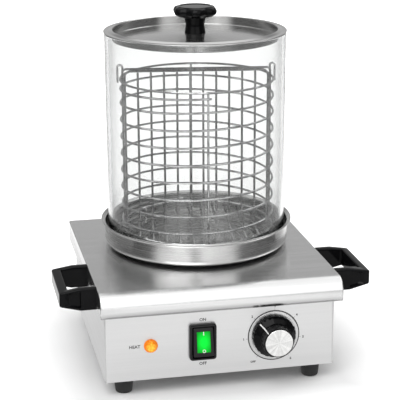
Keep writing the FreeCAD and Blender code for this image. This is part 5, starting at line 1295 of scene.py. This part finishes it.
class STEAMER_OT_stage(Operator):
    """Set the floor, the soft studio light and the camera"""
    bl_idname = "steamer.stage"
    bl_label = "Stage"

    # Each lamp's name, place, size and power: above and in front, from the left and from behind
    LAMPS = (("key", (-0.7, -1.3, 2.0), 1.6, 26.0), ("fill", (-1.9, -0.2, 1.2), 1.2, 8.0),
             ("rim", (1.6, 0.6, 1.9), 1.2, 9.0))
    AIM = Vector((0, 0, 0.15))
    CAMERA = Vector((-0.29784, -1.43279, 0.60924))
    ROLL = math.radians(-0.2513)
    FLOOR_RADIUS = 9

    def execute(self, context):
        wish = settings().stage
        sine, cosine = math.sin(wish.bearing), math.cos(wish.bearing)
        ahead, right = (sine, cosine, 0), (cosine, -sine, 0)
        self.floor(wish, right)
        self.surroundings(wish, ahead, right)
        self.light()
        self.camera(wish, Vector(ahead), Vector(right))
        context.scene.view_settings.view_transform = "Standard"
        return {"FINISHED"}

    def floor(self, wish, right):
        """A wide disc that the camera sees as white paper, with the object's shadow on it.

        Its own light is nothing under the object, so the shadow keeps its depth. It grows beside
        the object with the larger of |x| and |y|, which paints the shadow's square edge round the base
        and whitens the real shadow away beyond it, and far away, where less lamp light falls.
        Mirrors see the paper as a strip about 0.75 m wide that a painted shadow makes a little darker
        near the object.
        A narrow dark band runs along it from half a metre on, and the floor beside it is dark.
        """
        material, nodes, place = start_material("stage_floor")
        direct, mirrored = ray_kinds(nodes)
        far = nodes.vector("LENGTH", place)
        aside = nodes.vector("DOT_PRODUCT", place, right)
        strip = nodes.scaled(nodes.math("ABSOLUTE", nodes.math("SUBTRACT", aside, 0.03)),
                             1.0, wish.side_tone, 0.31, 0.45)
        band = nodes.scaled(nodes.math("ABSOLUTE", nodes.math("ADD", aside, 0.02)),
                            0.12, 1.0, 0.0, 0.12)
        band = nodes.math("MAXIMUM", band, nodes.scaled(far, 1.0, 0.0, 0.46, 0.52))
        # The last factor is a painted shadow: mirrors see the paper darker near the object.
        paper = nodes.math("MULTIPLY", strip, band, nodes.scaled(far, 0.76, 1.38, 0.16, 0.55))
        x, y, _ = nodes.parts(place)
        beside = nodes.math("MAXIMUM", nodes.math("ABSOLUTE", x), nodes.math("ABSOLUTE", y))
        # Painted shadow: the camera's glow is kept off a square round the base, where the floor stays
        # grey, and whitens the shadow away beyond it.
        white = nodes.math("ADD", nodes.scaled(beside, 0.0, 0.45, 0.135, 0.215),
                           nodes.scaled(far, 0.0, 0.5, 0.25, 1.1))
        glow = nodes.math("ADD", nodes.math("MULTIPLY", direct, white),
                          nodes.math("MULTIPLY", mirrored, paper))
        tone = nodes.blend(nodes.noise(place, 3.0), shade(wish.floor_colour, 0.995),
                           shade(wish.floor_colour, 1.005))
        finish_material(material, nodes, Base_Color=nodes.blend(mirrored, tone, (0, 0, 0, 1)),
                        Roughness=0.8, Emission_Color=(1, 1, 1, 1), Emission_Strength=glow)
        count = 96
        disc = np.column_stack((on_circle(around(count)), np.zeros(count))) * self.FLOOR_RADIUS
        mesh = bpy.data.meshes.new("stage_floor")
        mesh.from_pydata(disc.tolist(), [], [list(range(count))])
        mesh.materials.append(material)
        add_object("stage_floor", mesh)

    def surroundings(self, wish, ahead, right):
        """Soft light from all round that is stronger from above, and white for the camera.

        Mirrors see a studio. With c the cosine of the angle to the camera's side and z the height
        of a direction, it has two wide boxes where c is high, parted by a narrow gap, a grey wall
        where c is low, dark sides between them and a white ceiling where z is high.
        """
        world = bpy.data.worlds.new("stage_world")
        bpy.context.scene.world = world
        world.use_nodes = True
        nodes = Nodes(world.node_tree)
        direct, mirrored = ray_kinds(nodes)
        x, y, z = nodes.parts(nodes.add("ShaderNodeTexCoord").outputs["Generated"])
        level = nodes.vector("NORMALIZE", nodes.joined(x, y))
        c = nodes.vector("DOT_PRODUCT", level, tuple(-value for value in ahead))
        aside = nodes.math("ABSOLUTE", nodes.vector("DOT_PRODUCT", level, right))
        boxes = nodes.math("MULTIPLY", nodes.scaled(c, 0.0, 1.5, 0.52, 0.70),
                           nodes.scaled(aside, 0.35, 1.0, 0.06, 0.16))
        wall = nodes.math("MULTIPLY", nodes.scaled(c, wish.wall_tone, 0.0, -0.7, -0.2),
                          nodes.scaled(z, 1.3, 0.5, 0.28, 0.42))
        studio = nodes.math("MAXIMUM", nodes.math("ADD", boxes, wall, wish.side_tone),
                            nodes.scaled(z, 0.0, 1.3, 0.40, 0.70))
        strength = nodes.between(direct, nodes.scaled(z, 0.35, 0.85), 1.0)
        strength = nodes.between(mirrored, strength, studio)
        ground = nodes.add("ShaderNodeBackground", {"Color": (1, 1, 1, 1), "Strength": strength})
        nodes.add("ShaderNodeOutputWorld", {"Surface": ground.outputs[0]})

    def light(self):
        """Square soft lamps that look at the object; mirrors don't see the fill lamp."""
        for name, place, size, power in self.LAMPS:
            lamp = bpy.data.lights.new(f"stage_{name}", "AREA")
            lamp.shape = "SQUARE"
            lamp.size = size
            lamp.energy = power
            thing = add_object(f"stage_{name}", lamp)
            thing.visible_glossy = name != "fill"
            turn = (self.AIM - Vector(place)).to_track_quat("-Z", "Y").to_matrix()
            thing.matrix_world = Matrix.Translation(place) @ turn.to_4x4()

    def camera(self, wish, level, right):
        """The view of the photograph: a place, a bearing, a pitch, a slight roll and a lens."""
        ahead = level * math.cos(wish.pitch) - Vector((0, 0, math.sin(wish.pitch)))
        up = right.cross(ahead)
        turned_right = right * math.cos(self.ROLL) + up * math.sin(self.ROLL)
        turned_up = up * math.cos(self.ROLL) - right * math.sin(self.ROLL)
        turn = Matrix((turned_right, turned_up, -ahead)).transposed()
        camera = bpy.data.cameras.new("stage_camera")
        camera.lens = wish.lens
        camera.sensor_width = 36
        camera.clip_start = 0.05
        camera.clip_end = 50
        thing = add_object("stage_camera", camera)
        thing.matrix_world = Matrix.Translation(self.CAMERA) @ turn.to_4x4()
        bpy.context.scene.camera = thing


PIECES = (STEAMER_OT_cover, STEAMER_OT_casing, STEAMER_OT_feet, STEAMER_OT_handles, STEAMER_OT_bowl,
          STEAMER_OT_glass, STEAMER_OT_lid, STEAMER_OT_basket, STEAMER_OT_dial, STEAMER_OT_switch,
          STEAMER_OT_lamp, STEAMER_OT_markings, STEAMER_OT_cable_entry, STEAMER_OT_inner_parts,
          STEAMER_OT_stage)


class STEAMER_PT_panel(Panel):
    """Sidebar panel that lists the steamer's pieces"""
    bl_idname = "STEAMER_PT_panel"
    bl_label = "Counter Steamer"
    bl_space_type = "VIEW_3D"
    bl_region_type = "UI"
    bl_category = "Steamer"

    def draw(self, context):
        for group in ("steel", "basket", "controls", "stage"):
            box = self.layout.box()
            box.label(text=group.title())
            part = getattr(context.scene.steamer, group)
            for name in part.__annotations__:
                box.prop(part, name)
        for kind in PIECES:
            self.layout.operator(kind.bl_idname)


CLASSES = (SteelSettings, BasketSettings, ControlSettings, StageSettings, SteamerSettings,
           *PIECES, STEAMER_PT_panel)


def register():
    for kind in CLASSES:
        bpy.utils.register_class(kind)
    bpy.types.Scene.steamer = PointerProperty(type=SteamerSettings)


def unregister():
    del bpy.types.Scene.steamer
    for kind in reversed(CLASSES):
        bpy.utils.unregister_class(kind)


def main():
    register()
    for kind in PIECES:
        group, name = kind.bl_idname.split(".")
        getattr(getattr(bpy.ops, group), name)()


if __name__ == "__main__":
    main()
